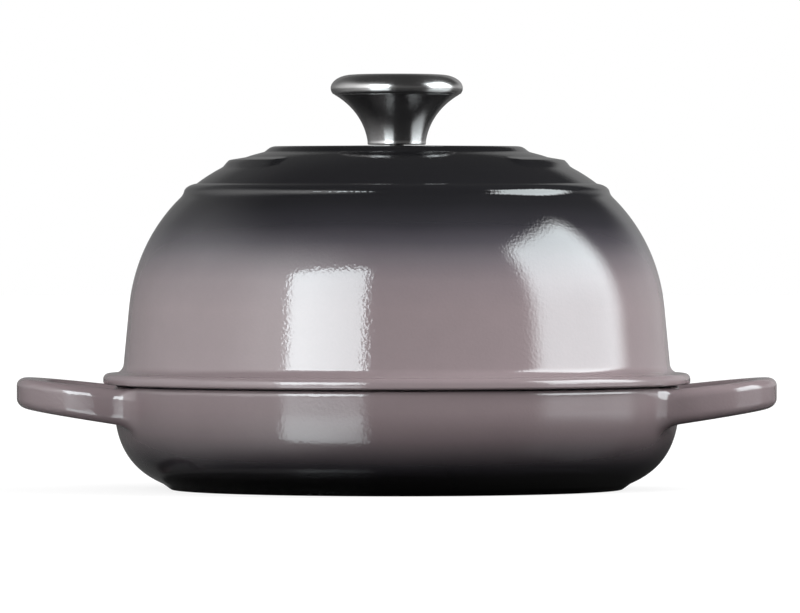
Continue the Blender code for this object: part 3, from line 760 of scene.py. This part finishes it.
def build_pan():
    """The pan and both handles as one closed skin, glossy outside and matt black inside."""
    inside_start = along(PAN_LINE)[np.argmax(PAN_LINE[:, 1])] + 6 * MM
    places = thinned(row_places(PAN_LINE, 1.6 * MM, 9.0), inside_start)
    rows = at(PAN_LINE, places)[1:-1]
    places = places[1:-1]
    rim = np.argmax(rows[:, 1] > PAN_HEIGHT - 0.001 * MM)
    first_row = np.argmin(np.abs(rows[:rim, 1] - HOLE_BOTTOM))
    last_row = rim + np.argmin(np.abs(rows[rim : rim + 20, 0] - HOLE_TOP_RADIUS))
    angles = np.arange(PAN_COLUMNS) * (2 * np.pi / PAN_COLUMNS)
    points = turned_points(rows[:, None], angles).reshape(-1, 3)
    border_rows, border_columns = hole_border(first_row, last_row, HOLE_FIRST_COLUMN, HOLE_LAST_COLUMN)
    half = leg_rows(
        border_columns * (2 * np.pi / PAN_COLUMNS),
        places[border_rows],
        HOLE_LAST_COLUMN - HOLE_FIRST_COLUMN,
        last_row - first_row,
    )
    mirrored = half[::-1][1:] * (1, -1, 1)
    bar = np.concatenate([half, mirrored])[1:-1]
    quads = lattice(len(rows), PAN_COLUMNS)
    whole = np.ones(quads.shape[:2], bool)
    strips, strip_points = [], []
    for half_turns, facing in ((0, 1), (PAN_COLUMNS // 2, -1)):
        for sign in (1, -1):
            columns = (sign * np.arange(HOLE_FIRST_COLUMN, HOLE_LAST_COLUMN) + half_turns) % PAN_COLUMNS
            if sign < 0:
                columns = (columns - 1) % PAN_COLUMNS
            whole[first_row:last_row, columns] = False
        start = border_rows * PAN_COLUMNS + (border_columns + half_turns) % PAN_COLUMNS
        end = border_rows * PAN_COLUMNS + (half_turns - border_columns) % PAN_COLUMNS
        first_number = len(points) + sum(len(part) for part in strip_points)
        numbers = first_number + np.arange(bar.shape[0] * bar.shape[1]).reshape(bar.shape[:2])
        numbers = np.vstack([start, numbers, end])
        following = np.roll(numbers, -1, axis=1)
        strips.append(np.stack([numbers[:-1], following[:-1], following[1:], numbers[1:]], -1).reshape(-1, 4))
        strip_points.append((bar * (facing, facing, 1)).reshape(-1, 3))
    poles = np.array([[0, 0, FOOT_RECESS], [0, 0, PAN_FLOOR]])
    grid_count = len(points)
    points = np.vstack([points, *strip_points, poles])
    triangles = pole_fans(len(points) - 2, grid_count, PAN_COLUMNS)
    inside_rows = np.arange(len(rows) - 1) >= last_row
    finish_of_quad = np.broadcast_to(inside_rows[:, None], whole.shape)[whole]
    strip_quads = np.vstack(strips)
    finish_of_quad = np.concatenate([finish_of_quad, np.zeros(len(strip_quads), bool)])
    finish_of_triangle = np.repeat([False, True], PAN_COLUMNS)
    quads = np.vstack([quads[whole], strip_quads])
    return make_mesh(
        "pan_casting", points, quads, triangles, [pan_enamel, matt_black], finish_of_quad, finish_of_triangle
    )


pan = build_pan()
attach(pan, "pan")
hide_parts("base_pan")

# %% [markdown]
# ## The lid
#
# The lid's profile closes on itself: outside from the knob's hole over the stepped crown, down the
# shoulder and wall to the bead of the flange, then the lip that drops into the pan, and back up inside.
# The lowest ring on the crown goes all the way round and is part of the profile. The ring above it is
# broken at the front and the back, so it is added afterwards.

# %% Draw the lid's profile
LID_WALL = 4.1 * MM
LID_WALL_HEIGHT = 33.2 * MM
LID_DRAFT = np.radians(5.4)
CROWN_THICKNESS = 4.9 * MM
FLANGE_RADIUS = PAN_RADIUS + 4.6 * MM
FLANGE_WIDTH = 8.45 * MM
FLANGE_THICKNESS = 5.2 * MM
FLANGE_TOP_ROUND = 2.4 * MM
FLANGE_BASE_ROUND = 1.0 * MM
FLANGE_LIFT = 0.6 * MM
SEAT_RADIUS = 120.5 * MM
FLANGE_FILLET = 4.5 * MM
LIP_DEPTH = 3.5 * MM
LIP_WIDTH = 3.2 * MM
LIP_PLAY = 0.8 * MM
CROWN_SLOPE = np.radians(13)
DISC_RADIUS = 54.0 * MM
DISC_EDGE = 3.05 * MM
DISC_STEP = 2.75 * MM
DISC_CAMBER = 0.35 * MM
DISC_ROUND = 5.4 * MM
KNOB_FOOT_RADIUS = 12.6 * MM
LID_HOLE_RADIUS = 3.6 * MM
LID_RADIUS = FLANGE_RADIUS - FLANGE_WIDTH
SHOULDER_RADIUS = LID_RADIUS - (LID_WALL_HEIGHT - FLANGE_THICKNESS) * np.tan(LID_DRAFT)
DISC_FOOT_RADIUS = DISC_RADIUS + DISC_EDGE
BROKEN_RING = {
    "radius": DISC_FOOT_RADIUS + 8.05 * MM,
    "tread": 7.4 * MM,
    "edge": 2.45 * MM,
    "rise": 1.8 * MM,
    "edge_round": 1.8 * MM,
}
FULL_RING_CREASE = BROKEN_RING["radius"] + BROKEN_RING["tread"] + BROKEN_RING["edge"] + 11.25 * MM
FULL_RING_FACE = (91.72 * MM, 83.4 * MM)
FULL_RING_FOOT = 94.3 * MM
RING_LEAD = 3 * MM


def shoulder(inset=0.0):
    """The lid's outside without rings, or its inside with an inset, from the crown down to the wall."""
    return eased(
        (DISC_FOOT_RADIUS, LID_HEIGHT - DISC_STEP),
        -CROWN_SLOPE,
        0.34,
        (SHOULDER_RADIUS, LID_WALL_HEIGHT),
        LID_DRAFT - QUARTER,
        0.41,
        inset,
        400,
    )


def shoulder_height(radius):
    """Height of the plain shoulder at a radius."""
    line = shoulder()
    return np.interp(radius, line[:, 0], line[:, 1])


def on_shoulder(radius, rise=0.0):
    """The point at a radius on the plain shoulder, or a rise above it."""
    return radius, shoulder_height(radius) + rise


def ring_outline(radius, tread, edge, rise, edge_round):
    """A ring on the shoulder: a shallow crease, a tread, a rounded edge and a soft foot."""
    corner, foot = radius + tread, radius + tread + edge
    plain = [on_shoulder(place) for place in (radius - RING_LEAD, radius, foot, foot + RING_LEAD)]
    chain = [*plain[:2], on_shoulder(corner, rise), *plain[2:]]
    return rounded(chain, 4 * MM, edge_round, 1.6 * MM)


def full_ring_outline():
    """The lowest ring: its tread leaves the crease almost level and bends down to a steep face."""
    before, crease = on_shoulder(FULL_RING_CREASE - RING_LEAD), on_shoulder(FULL_RING_CREASE)
    foot = on_shoulder(FULL_RING_FOOT)
    beyond = shoulder_height(FULL_RING_FOOT + 0.5 * MM) - foot[1]
    steep = -np.radians(76)
    tread = eased(crease, -np.radians(10), 0.35, FULL_RING_FACE, steep, 0.35)
    lower = eased(FULL_RING_FACE, steep, 0.42, foot, np.arctan2(beyond, 0.5 * MM), 0.3)
    return joined(fillet(before, crease, tread[8], 1.2 * MM), tread[9:], lower)


def lid_profile():
    """Section of the lid, closed on itself, from the knob's hole round the outside and back inside."""
    plain = shoulder()
    ring = full_ring_outline()
    disc_edge = (DISC_RADIUS, LID_HEIGHT - DISC_CAMBER)
    knob_seat = (KNOB_FOOT_RADIUS, LID_HEIGHT)
    flange_root = (LID_RADIUS, FLANGE_THICKNESS)
    flange_top, flange_base = (FLANGE_RADIUS, FLANGE_THICKNESS), (FLANGE_RADIUS, FLANGE_LIFT)
    base_centre = flange_base + np.array([-1, 1]) * FLANGE_BASE_ROUND
    lip_radius = PAN_RADIUS - PAN_WALL - LIP_PLAY
    lip_outer, lip_inner = (lip_radius, -LIP_DEPTH), (lip_radius - LIP_WIDTH, -LIP_DEPTH)
    wall_base = (lip_inner[0], FLANGE_THICKNESS)
    inside = shoulder(LID_WALL)[::-1]
    under = LID_HEIGHT - CROWN_THICKNESS
    boss = (11.0 * MM, under)
    crown = eased(inside[-1], np.pi - CROWN_SLOPE, 0.2, boss, np.pi, 0.35)
    lip = [flange_base, (SEAT_RADIUS, 0), (lip_radius, 0), lip_outer, lip_inner, wall_base, inside[0]]
    return joined(
        (LID_HOLE_RADIUS, LID_HEIGHT),
        knob_seat,
        rounded([knob_seat, disc_edge, plain[0], plain[20]], DISC_ROUND, 2.5 * MM),
        plain[(plain[:, 0] > plain[20][0]) & (plain[:, 0] < ring[0][0] - 0.2 * MM)],
        ring,
        plain[plain[:, 0] > ring[-1][0] + 0.2 * MM],
        fillet(plain[-1], flange_root, flange_top, FLANGE_FILLET),
        arc(flange_top - np.full(2, FLANGE_TOP_ROUND), FLANGE_TOP_ROUND, FLANGE_TOP_ROUND, 90, 0),
        arc(base_centre, FLANGE_BASE_ROUND, FLANGE_BASE_ROUND, 0, -90),
        rounded(lip, 0.5 * MM, 0.5 * MM, 0.8 * MM, 0.8 * MM, 6 * MM),
        inside,
        crown,
        (LID_HOLE_RADIUS, under),
        (LID_HOLE_RADIUS, LID_HEIGHT),
    )


LID_LINE = lid_profile()
print("the lid's section is", round(1e6 * along(LID_LINE)[-1] * LID_WALL / 2), "square millimetres, roughly")

# %% [markdown]
# The broken ring is a rise that depends on two things: how far out a point is, which gives the ring's
# section, and how far round it is, which lets the ring start and stop. Points on the outside of the
# lid are lifted by the product of the two. The columns stand closer together at the four ends of the
# ring, where its rise changes quickly.

# %% Build the lid
LID_COLUMNS = 340
BROKEN_RING_GAP = np.radians(43.5)
BROKEN_RING_TIP = np.radians(6.5)


def crowded_angles(count, centres, width, extra):
    """Angles round the circle that stand closer near some centres, by evening out a running density."""
    fine = np.linspace(0, 2 * np.pi, 14401)
    density = np.ones_like(fine)
    for centre in centres:
        away = np.abs((fine - centre + np.pi) % (2 * np.pi) - np.pi)
        density += extra * np.exp(-((away / width) ** 2))
    total = np.append(0, np.cumsum((density[1:] + density[:-1]) / 2))
    return np.interp(np.linspace(0, total[-1], count, endpoint=False), total, fine)


def tip_share(angles):
    """0 in the ring's gaps, 1 along its arcs, and straight between them over the width of a tip."""
    from_front_or_back = np.abs((angles + QUARTER + QUARTER) % np.pi - QUARTER)
    return np.clip((from_front_or_back - BROKEN_RING_GAP) / BROKEN_RING_TIP, 0, 1)


def broken_ring_rise(radius, angles):
    """Height of the broken ring over the plain shoulder at each radius and angle.

    Each end is a round tongue. The ring's width about its middle shrinks there by a quarter of a circle,
    sqrt(1 - (1 - share)^2), and its height drops only in the first part of the tip.
    """
    outline = ring_outline(**BROKEN_RING)
    outer_edge = BROKEN_RING["radius"] + BROKEN_RING["tread"]
    middle = (BROKEN_RING["radius"] + outer_edge) / 2
    share = tip_share(angles)[None, :]
    width = np.sqrt(1 - (1 - share) ** 2)
    spread = middle + (radius[:, None] - middle) / np.maximum(width, 0.02)
    ringed = np.interp(spread, outline[:, 0], outline[:, 1])
    plain = shoulder_height(spread.ravel()).reshape(spread.shape)
    within = (spread > outline[0][0]) & (spread < outline[-1][0])
    rise = np.where(within, np.maximum(ringed - plain, 0), 0)
    low_end = np.clip(share * 2.5, 0, 1)
    return rise * low_end**2 * (3 - 2 * low_end)


def build_lid():
    """The lid as one closed skin, with its broken ring, glossy outside and matt black inside."""
    flange_base = np.argmin(np.abs(LID_LINE[:, 0] - SEAT_RADIUS - MM) + np.abs(LID_LINE[:, 1]))
    base_length = along(LID_LINE)[flange_base]
    places = thinned(row_places(LID_LINE, 1.5 * MM, 9.0)[:-1], base_length)
    rows = at(LID_LINE, places)
    outside = places < base_length
    end = BROKEN_RING_GAP + BROKEN_RING_TIP / 3
    ends = [side * QUARTER + sign * end for side in (-1, 1) for sign in (-1, 1)]
    angles = crowded_angles(LID_COLUMNS, ends, BROKEN_RING_TIP, 3.0)
    points = turned_points(rows[:, None], angles)
    crown = (outside & (rows[:, 1] > LID_WALL_HEIGHT))[:, None]
    points[..., 2] += np.where(crown, broken_ring_rise(rows[:, 0], angles), 0) + LID_BASE
    quads = lattice(len(rows), LID_COLUMNS, True)
    finish_of_quad = np.broadcast_to(~outside[:, None], quads.shape[:2]).reshape(-1)
    return make_mesh(
        "lid_casting", points.reshape(-1, 3), quads, [], [lid_enamel, matt_black], finish_of_quad, []
    )


lid = build_lid()
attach(lid, "lid")
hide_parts("domed_lid")

# %% [markdown]
# ## Brushed stainless steel
#
# The knob is pressed from sheet and brushed while it spins, so its scratches run round the axis. They
# are far finer than a pixel, but they streak the reflections. Noise that is stretched round the axis
# does this: it changes quickly with radius and height, and hardly at all with the angle.

# %% Mix the steels


def brushed_steel(name, colour, roughness, streaks, depth, anisotropy):
    """Steel brushed round the axis. Noise over radius and height makes scratches that follow circles."""
    made, graph = new_finish(name)
    where, (x, y, z) = graph.coordinates()
    radius = (x * x + y * y) ** 0.5
    turn = graph.node("ShaderNodeMath", {"operation": "ARCTAN2"}, {0: y, 1: x})
    ringed = graph.node("ShaderNodeCombineXYZ", None, {0: radius, 1: turn * (0.6 * MM), 2: z})
    scratches = graph.noise(ringed, streaks, 3.0, 0.7)
    smudges = graph.noise(where, 140.0, 3.0)
    tone = 0.92 + scratches * 0.16
    base = graph.mixed(1.0, (*colour, 1.0), graph.grey(tone), "MULTIPLY")
    normal = graph.bumped(scratches, depth)
    rough = roughness + scratches * 0.08 + smudges * 0.05
    inputs = {"Base Color": base, "Roughness": rough, "Normal": normal, "Metallic": 1.0}
    finish_with(graph, inputs | {"Anisotropic": anisotropy, "Anisotropic Rotation": 0.25})
    return made


knob_steel = brushed_steel("brushed_knob_steel", linear(194, 193, 193), 0.16, 5200.0, 0.002 * MM, 0.7)
fixing_steel = brushed_steel("plain_fixing_steel", linear(205, 204, 201), 0.30, 2600.0, 0.006 * MM, 0.3)
print("steels:", knob_steel.name, fixing_steel.name)

# %% [markdown]
# ## The knob
#
# A wide cap sits on a flared stem, both hollow. The cap's edge rolls under into a flat lip, and a hair
# of shadow between lip and stem is the seam. Inside the stem's foot a threaded bush takes the screw.

# %% Build the knob's cap and stem
PIECE_GAP = 0.3 * MM
KNOB_SEAT = LID_BASE + LID_HEIGHT + PIECE_GAP
KNOB_RADIUS = 28.5 * MM
KNOB_HEIGHT = 30.6 * MM
KNOB_SHEET = 1.2 * MM
CAP_CAMBER = 0.35 * MM
CAP_BASE = KNOB_HEIGHT - 8.8 * MM
CAP_FLAT_RADIUS = 18.8 * MM
CAP_ROLL = 3.6 * MM
CAP_WAIST = 2.6 * MM
LIP_RADIUS = 24.2 * MM
STEM_TOP = CAP_BASE - 0.1 * MM
STEM_EDGE_RADIUS = 27.1 * MM
THREAD_RADIUS = 3.3 * MM


def cap_profile():
    """The cap's shell from axis to axis: a slight camber, the shoulder, the rolled edge and the inside.

    The rolled edge is an arc that the flat lip cuts off, so it ends where its sine is waist over roll.
    """
    roll = (KNOB_RADIUS - CAP_ROLL, CAP_BASE + CAP_WAIST)
    middle = (CAP_FLAT_RADIUS, roll[1])
    width, height = KNOB_RADIUS - CAP_FLAT_RADIUS, KNOB_HEIGHT - CAP_CAMBER - roll[1]
    inner_roll = CAP_ROLL - KNOB_SHEET
    lip_top = CAP_BASE + KNOB_SHEET
    outer_turn = np.degrees(np.arcsin(CAP_WAIST / CAP_ROLL))
    inner_turn = np.degrees(np.arcsin((CAP_WAIST - KNOB_SHEET) / inner_roll))
    rolled = arc(roll, CAP_ROLL, CAP_ROLL, 0, -outer_turn)
    lip = [rolled[-7], rolled[-1], (LIP_RADIUS, CAP_BASE), (LIP_RADIUS, lip_top), (roll[0], lip_top)]
    camber = arc((0, KNOB_HEIGHT - CAP_CAMBER), CAP_FLAT_RADIUS, CAP_CAMBER, 90, 12)
    return joined(
        camber,
        arc(middle, width, height, 84, 0),
        rolled[:-6],
        rounded(lip, 0.25 * MM, 0.4 * MM, 0.4 * MM),
        arc(roll, inner_roll, inner_roll, -inner_turn, 0),
        arc(middle, width - KNOB_SHEET, height - KNOB_SHEET, 0, 90),
        (0, KNOB_HEIGHT - KNOB_SHEET),
    )


def stem_profile():
    """The stem's shell, closed on itself: the flare outside, the rounded foot, and the bore inside."""
    edge = (STEM_EDGE_RADIUS, STEM_TOP)
    neck = (KNOB_FOOT_RADIUS, 1.6 * MM)
    headings = (np.pi + np.radians(30), 0.38, neck, -QUARTER - np.radians(9), 0.34)
    outside = eased(edge, *headings)
    inside = eased(edge, *headings, KNOB_SHEET)[::-1]
    foot, bore = (KNOB_FOOT_RADIUS, 0), (KNOB_FOOT_RADIUS - KNOB_SHEET, 0)
    rim_inner = (LIP_RADIUS, STEM_TOP)
    inside = inside[inside[:, 1] < STEM_TOP - KNOB_SHEET]
    top_edge = fillet(rim_inner, edge, outside[10], 0.06 * MM)
    return joined(
        top_edge,
        outside[11:],
        rounded([neck, foot, bore, inside[0]], 0.7 * MM, 0.3 * MM),
        inside,
        fillet(inside[-1], rim_inner, edge, 0.2 * MM),
        top_edge[0],
    )


cap = turned("cap_shell", cap_profile(), 192, [knob_steel], 0.6 * MM, 7.0, KNOB_SEAT)
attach(cap, "lid")
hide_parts("knob_cap")
stem = turned("stem_shell", stem_profile(), 192, [knob_steel], 0.6 * MM, 7.0, KNOB_SEAT)
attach(stem, "lid")
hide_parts("knob_stem")

# %% [markdown]
# ## Bush, screw and washer
#
# The screw's slotted cheese head and the plain washer show only from under the lifted lid, and the
# bush not at all. The slot is cut with a Boolean, because a milled slot has flat walls that a turned
# grid can't follow.

# %% Build the fixings
UNDER_CROWN = LID_BASE + LID_HEIGHT - CROWN_THICKNESS
WASHER_RADIUS = 8 * MM
WASHER_THICKNESS = 1.2 * MM
WASHER_BASE = UNDER_CROWN - PIECE_GAP - WASHER_THICKNESS
SCREW_BASE = WASHER_BASE - PIECE_GAP
SCREW_RADIUS = 3.0 * MM
SCREW_LENGTH = KNOB_SEAT - SCREW_BASE + 10.5 * MM
SCREW_POINT = 0.8 * MM
HEAD_RADIUS = 5.6 * MM
HEAD_HEIGHT = 3.4 * MM
SLOT_SIZE = (14 * MM, 1.3 * MM, 3.2 * MM)
BUSH_RADIUS = 5.5 * MM
BUSH_LENGTH = 15 * MM
BUSH_FLANGE_HEIGHT = 3 * MM
BUSH_FLANGE_RADIUS = KNOB_FOOT_RADIUS - KNOB_SHEET - PIECE_GAP


def ring_profile(corners, radius):
    """A closed profile with every corner rounded by the same radius."""
    line = rounded([corners[-1], *corners, corners[0]], *[radius] * len(corners))
    return joined(line, line[0])


def screw_profile():
    """The screw from the tip inside the knob down to the middle of its head."""
    base, side = (0, -HEAD_HEIGHT), (HEAD_RADIUS, -HEAD_HEIGHT)
    head = [(SCREW_RADIUS, SCREW_LENGTH), (SCREW_RADIUS, 0), (HEAD_RADIUS, 0), side, base]
    return joined(
        (0, SCREW_LENGTH),
        (SCREW_RADIUS - SCREW_POINT, SCREW_LENGTH),
        (SCREW_RADIUS, SCREW_LENGTH - SCREW_POINT),
        rounded(head, 0.2 * MM, 0.3 * MM, 1.6 * MM),
        base,
    )


def cut_box(target, centre, size):
    """Cut a box out of a piece by an exact Boolean, and keep the result as its mesh."""
    corner = np.array([(x, y, z) for x in (-1, 1) for y in (-1, 1) for z in (-1, 1)]) / 2
    sides = [(0, 1, 3, 2), (4, 6, 7, 5), (0, 4, 5, 1), (2, 3, 7, 6), (0, 2, 6, 4), (1, 5, 7, 3)]
    mesh = bpy.data.meshes.new("cutter")
    mesh.from_pydata((corner * size + centre).tolist(), [], sides)
    cutter = bpy.data.objects.new("cutter", mesh)
    bpy.context.collection.objects.link(cutter)
    step = target.modifiers.new("slot", "BOOLEAN")
    step.operation = "DIFFERENCE"
    step.solver = "EXACT"
    step.object = cutter
    graph = bpy.context.evaluated_depsgraph_get()
    cut = bpy.data.meshes.new_from_object(target.evaluated_get(graph))
    target.modifiers.clear()
    target.data = cut
    bpy.data.objects.remove(cutter)
    cut.shade_smooth()
    cut.set_sharp_from_angle(angle=np.radians(40))


bush_corners = [
    (THREAD_RADIUS, BUSH_LENGTH),
    (BUSH_RADIUS, BUSH_LENGTH),
    (BUSH_RADIUS, BUSH_FLANGE_HEIGHT),
    (BUSH_FLANGE_RADIUS, BUSH_FLANGE_HEIGHT),
    (BUSH_FLANGE_RADIUS, 0),
    (THREAD_RADIUS, 0),
]
bush_profile = ring_profile(bush_corners, 0.3 * MM)
bush = turned("thread_bush", bush_profile, 64, [fixing_steel], 1.5 * MM, 20.0, KNOB_SEAT)
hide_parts("knob_bush")
screw = turned("slotted_screw", screw_profile(), 72, [fixing_steel], 0.8 * MM, 15.0, SCREW_BASE)
cut_box(screw, (0, 0, SCREW_BASE - HEAD_HEIGHT), SLOT_SIZE)
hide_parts("knob_screw")
washer_corners = [
    (THREAD_RADIUS, WASHER_THICKNESS),
    (WASHER_RADIUS, WASHER_THICKNESS),
    (WASHER_RADIUS, 0),
    (THREAD_RADIUS, 0),
]
washer_profile = ring_profile(washer_corners, 0.2 * MM)
washer = turned("plain_washer", washer_profile, 96, [fixing_steel], 1.0 * MM, 20.0, WASHER_BASE)
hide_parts("screw_washer")
for piece, body in ((bush, "lid"), (screw, "lid"), (washer, "lid_carrier")):
    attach(piece, body)
print("the screw is", round(1000 * (SCREW_LENGTH + HEAD_HEIGHT), 1), "millimetres long")

# %% [markdown]
# ## The studio
#
# The reflections in the enamel draw the studio: a tall softbox at the front left with crisp edges, a
# wide one at the right with soft edges, a dark room between them, and a pale surround at the left and
# behind that fades with height. Only mirrored rays see that surround, and to them the softboxes are a
# little bluer. Other rays see the softboxes in a plain room that is brighter behind, and the camera
# sees white. A softbox is a rectangle in a picture taken from the oven: the ray's sideways and upward
# parts over its forward part.

# %% Hang the softboxes in the world
world = bpy.data.worlds.new("studio")
bpy.context.scene.world = world
world.use_nodes = True
sky = Graph(world.node_tree)
direction = sky.node("ShaderNodeTexCoord", output="Generated")
east, north, height = sky.split(direction)


def softbox(facing, left, right, bottom, top, edges, lean=0.0, corner=(0.0, 0.0)):
    """A rectangle of light. Facing is its azimuth from the camera's side; edges are its four softnesses.

    The lean moves the left side outwards with height, and the corner rounds the box's top left.
    """
    turn = np.radians(facing)
    forward = east * np.sin(turn) - north * np.cos(turn)
    sideways = (east * np.cos(turn) + north * np.sin(turn)) / forward.most(0.001)
    upwards = height / forward.most(0.001)
    limit = left - upwards * lean
    inside = sky.step(sideways - limit, -edges[0], edges[0])
    inside = inside * (1 - sky.step(sideways, right - edges[1], right + edges[1]))
    inside = inside * sky.step(upwards, bottom - edges[2], bottom + edges[2])
    inside = inside * (1 - sky.step(upwards, top - edges[3], top + edges[3]))
    if corner[0]:
        near_side = ((limit + corner[0] - sideways) / corner[0]).most(0.0)
        near_top = ((upwards + (corner[1] - top)) / corner[1]).most(0.0)
        inside = inside * (1 - sky.step(near_side * near_side + near_top * near_top, 0.85, 1.1))
    return inside * sky.step(forward, 0.0, 0.02)


azimuth = sky.node("ShaderNodeMath", {"operation": "ARCTAN2"}, {0: east, 1: 0 - north})


def round_the_room(strengths):
    """Strength by azimuth: pairs of degrees (0 towards the camera, 90 to the right) and strength."""
    share = azimuth / (2 * np.pi) + 0.5
    stops = [(0.5 + degrees / 360, (strength / 4,) * 3) for degrees, strength in strengths]
    return sky.node("ShaderNodeValToRGB", {"stops": stops}, {0: share}) * 4


left_box = softbox(-15, -0.61, 0.03, 0.05, 0.72, (0.01, 0.01, 0.02, 0.015), 0.166, (0.09, 0.07))
rear_limit = np.tan(np.radians(21.5))
right_box = softbox(90, np.tan(np.radians(-28.5)), rear_limit, 0.05, 1.04, (0.12, 0.14, 0.03, 0.15))
LEFT_STRENGTH = 6.0
RIGHT_STRENGTH = 5.6
WHITE = (1.0, 1.0, 1.0, 1.0)
MIRRORED_BOX_COLOUR = (0.98, 1.06, 1.08, 1.0)
raised = sky.step(height, 0.1, 0.5)
rear_loss = round_the_room([(-180, 0.0), (75, 0.0), (98, 0.1), (180, 0.1)])
right_fade = 0.85 + raised * 0.2 - (1 - raised) * rear_loss
behind = sky.step(north, -0.35, 0.5)
straight_behind = round_the_room([(-180, 1.0), (-160, 1.0), (-150, 0.0), (150, 0.0), (160, 1.0), (180, 1.0)])
low_beside = 1 - sky.step(height, 0.12, 0.45)
low_behind = 1 - sky.step(height, 0.33, 0.48)
near_ground = low_beside + (low_behind - low_beside) * straight_behind
middling = 1 - sky.step(height, 0.40, 0.85)
is_glossy = sky.node("ShaderNodeLightPath", output="Is Glossy Ray")
is_camera = sky.node("ShaderNodeLightPath", output="Is Camera Ray")
is_through = sky.node("ShaderNodeLightPath", output="Is Transmission Ray")
glow = [
    (-180, 0.0), (-140, 0.2), (-124, 0.45), (-99, 0.9), (-80, 1.1), (-56, 1.9), (-40, 1.9),
    (-15, 0.05), (40, 0.0),
]
backdrop = [
    (-180, 0.18), (-165, 0.1), (-120, 0.12), (-90, 0.0), (90, 0.1), (115, 0.45), (150, 0.5),
    (180, 0.18),
]
open_room = 0.45 + behind * 0.5
mirrored_room = 0.05 + round_the_room(glow) * middling + round_the_room(backdrop) * near_ground
room = open_room + (mirrored_room - open_room) * is_glossy
lit = room + left_box * LEFT_STRENGTH + right_box * right_fade * RIGHT_STRENGTH
strength = lit + (1 - lit) * is_camera.most(is_through)
mirrored_box = (left_box + right_box).least(1.0) * is_glossy
tint = sky.mixed(mirrored_box, WHITE, MIRRORED_BOX_COLOUR)
background = sky.node("ShaderNodeBackground", None, {"Color": tint, "Strength": strength})
sky.node("ShaderNodeOutputWorld", None, {"Surface": background})
print("softboxes:", LEFT_STRENGTH, RIGHT_STRENGTH, "times white")

# %% [markdown]
# ## The table
#
# The oven stands on a white sheet. To the camera the sheet is as white as the page, apart from the soft
# shadow at the oven's foot. To every other ray it is a dark sheet, because the underside of the bowl is
# almost black in the photograph. It is partly a mirror, and near the oven much more so on the left.

# %% Lay the floor
FLOOR_HALF = 8.0
NEAR_MIRROR = 0.42
NEAR_MIRROR_LOSS = 0.40
FAR_MIRROR = 0.30
FAR_MIRROR_LOSS = 0.05
NEAR_EDGE, FAR_EDGE = 180 * MM, 520 * MM


def floor_finish():
    """To the camera an even white with the shadow left in, and to other rays a dark glossy sheet."""
    made, graph = new_finish("white_sheet")
    seen = graph.node("ShaderNodeLightPath", output="Is Camera Ray")
    _, (x, y, _) = graph.coordinates()
    mirror = graph.node("ShaderNodeBsdfAnisotropic", None, {"Color": WHITE, "Roughness": 0.12})
    dark = graph.node("ShaderNodeBsdfDiffuse", None, {"Color": (0.035, 0.035, 0.035, 1.0)})
    rightward = graph.step(x, -70 * MM, 60 * MM)
    near = NEAR_MIRROR - rightward * NEAR_MIRROR_LOSS
    far = FAR_MIRROR - rightward * FAR_MIRROR_LOSS
    gloss = near + (far - near) * graph.step((x * x + y * y) ** 0.5, NEAR_EDGE, FAR_EDGE)
    sheet = graph.node("ShaderNodeMixShader", None, {0: gloss, 1: dark, 2: mirror})
    shadowed = graph.node("ShaderNodeBsdfDiffuse", None, {"Color": (0.25, 0.25, 0.25, 1.0)})
    glow = graph.node("ShaderNodeEmission", None, {"Color": WHITE, "Strength": 0.82})
    page = graph.node("ShaderNodeAddShader", None, {0: shadowed, 1: glow})
    surface = graph.node("ShaderNodeMixShader", None, {0: seen, 1: sheet, 2: page})
    graph.node("ShaderNodeOutputMaterial", None, {"Surface": surface})
    return made


floor_mesh = bpy.data.meshes.new("floor")
corner_signs = ((-1, -1), (1, -1), (1, 1), (-1, 1))
floor_corners = [(x * FLOOR_HALF, y * FLOOR_HALF, 0.0) for x, y in corner_signs]
floor_mesh.from_pydata(floor_corners, [], [(0, 1, 2, 3)])
floor_mesh.materials.append(floor_finish())
floor = bpy.data.objects.new("floor", floor_mesh)
bpy.context.collection.objects.link(floor)
print("the sheet is", 2 * FLOOR_HALF, "metres across")
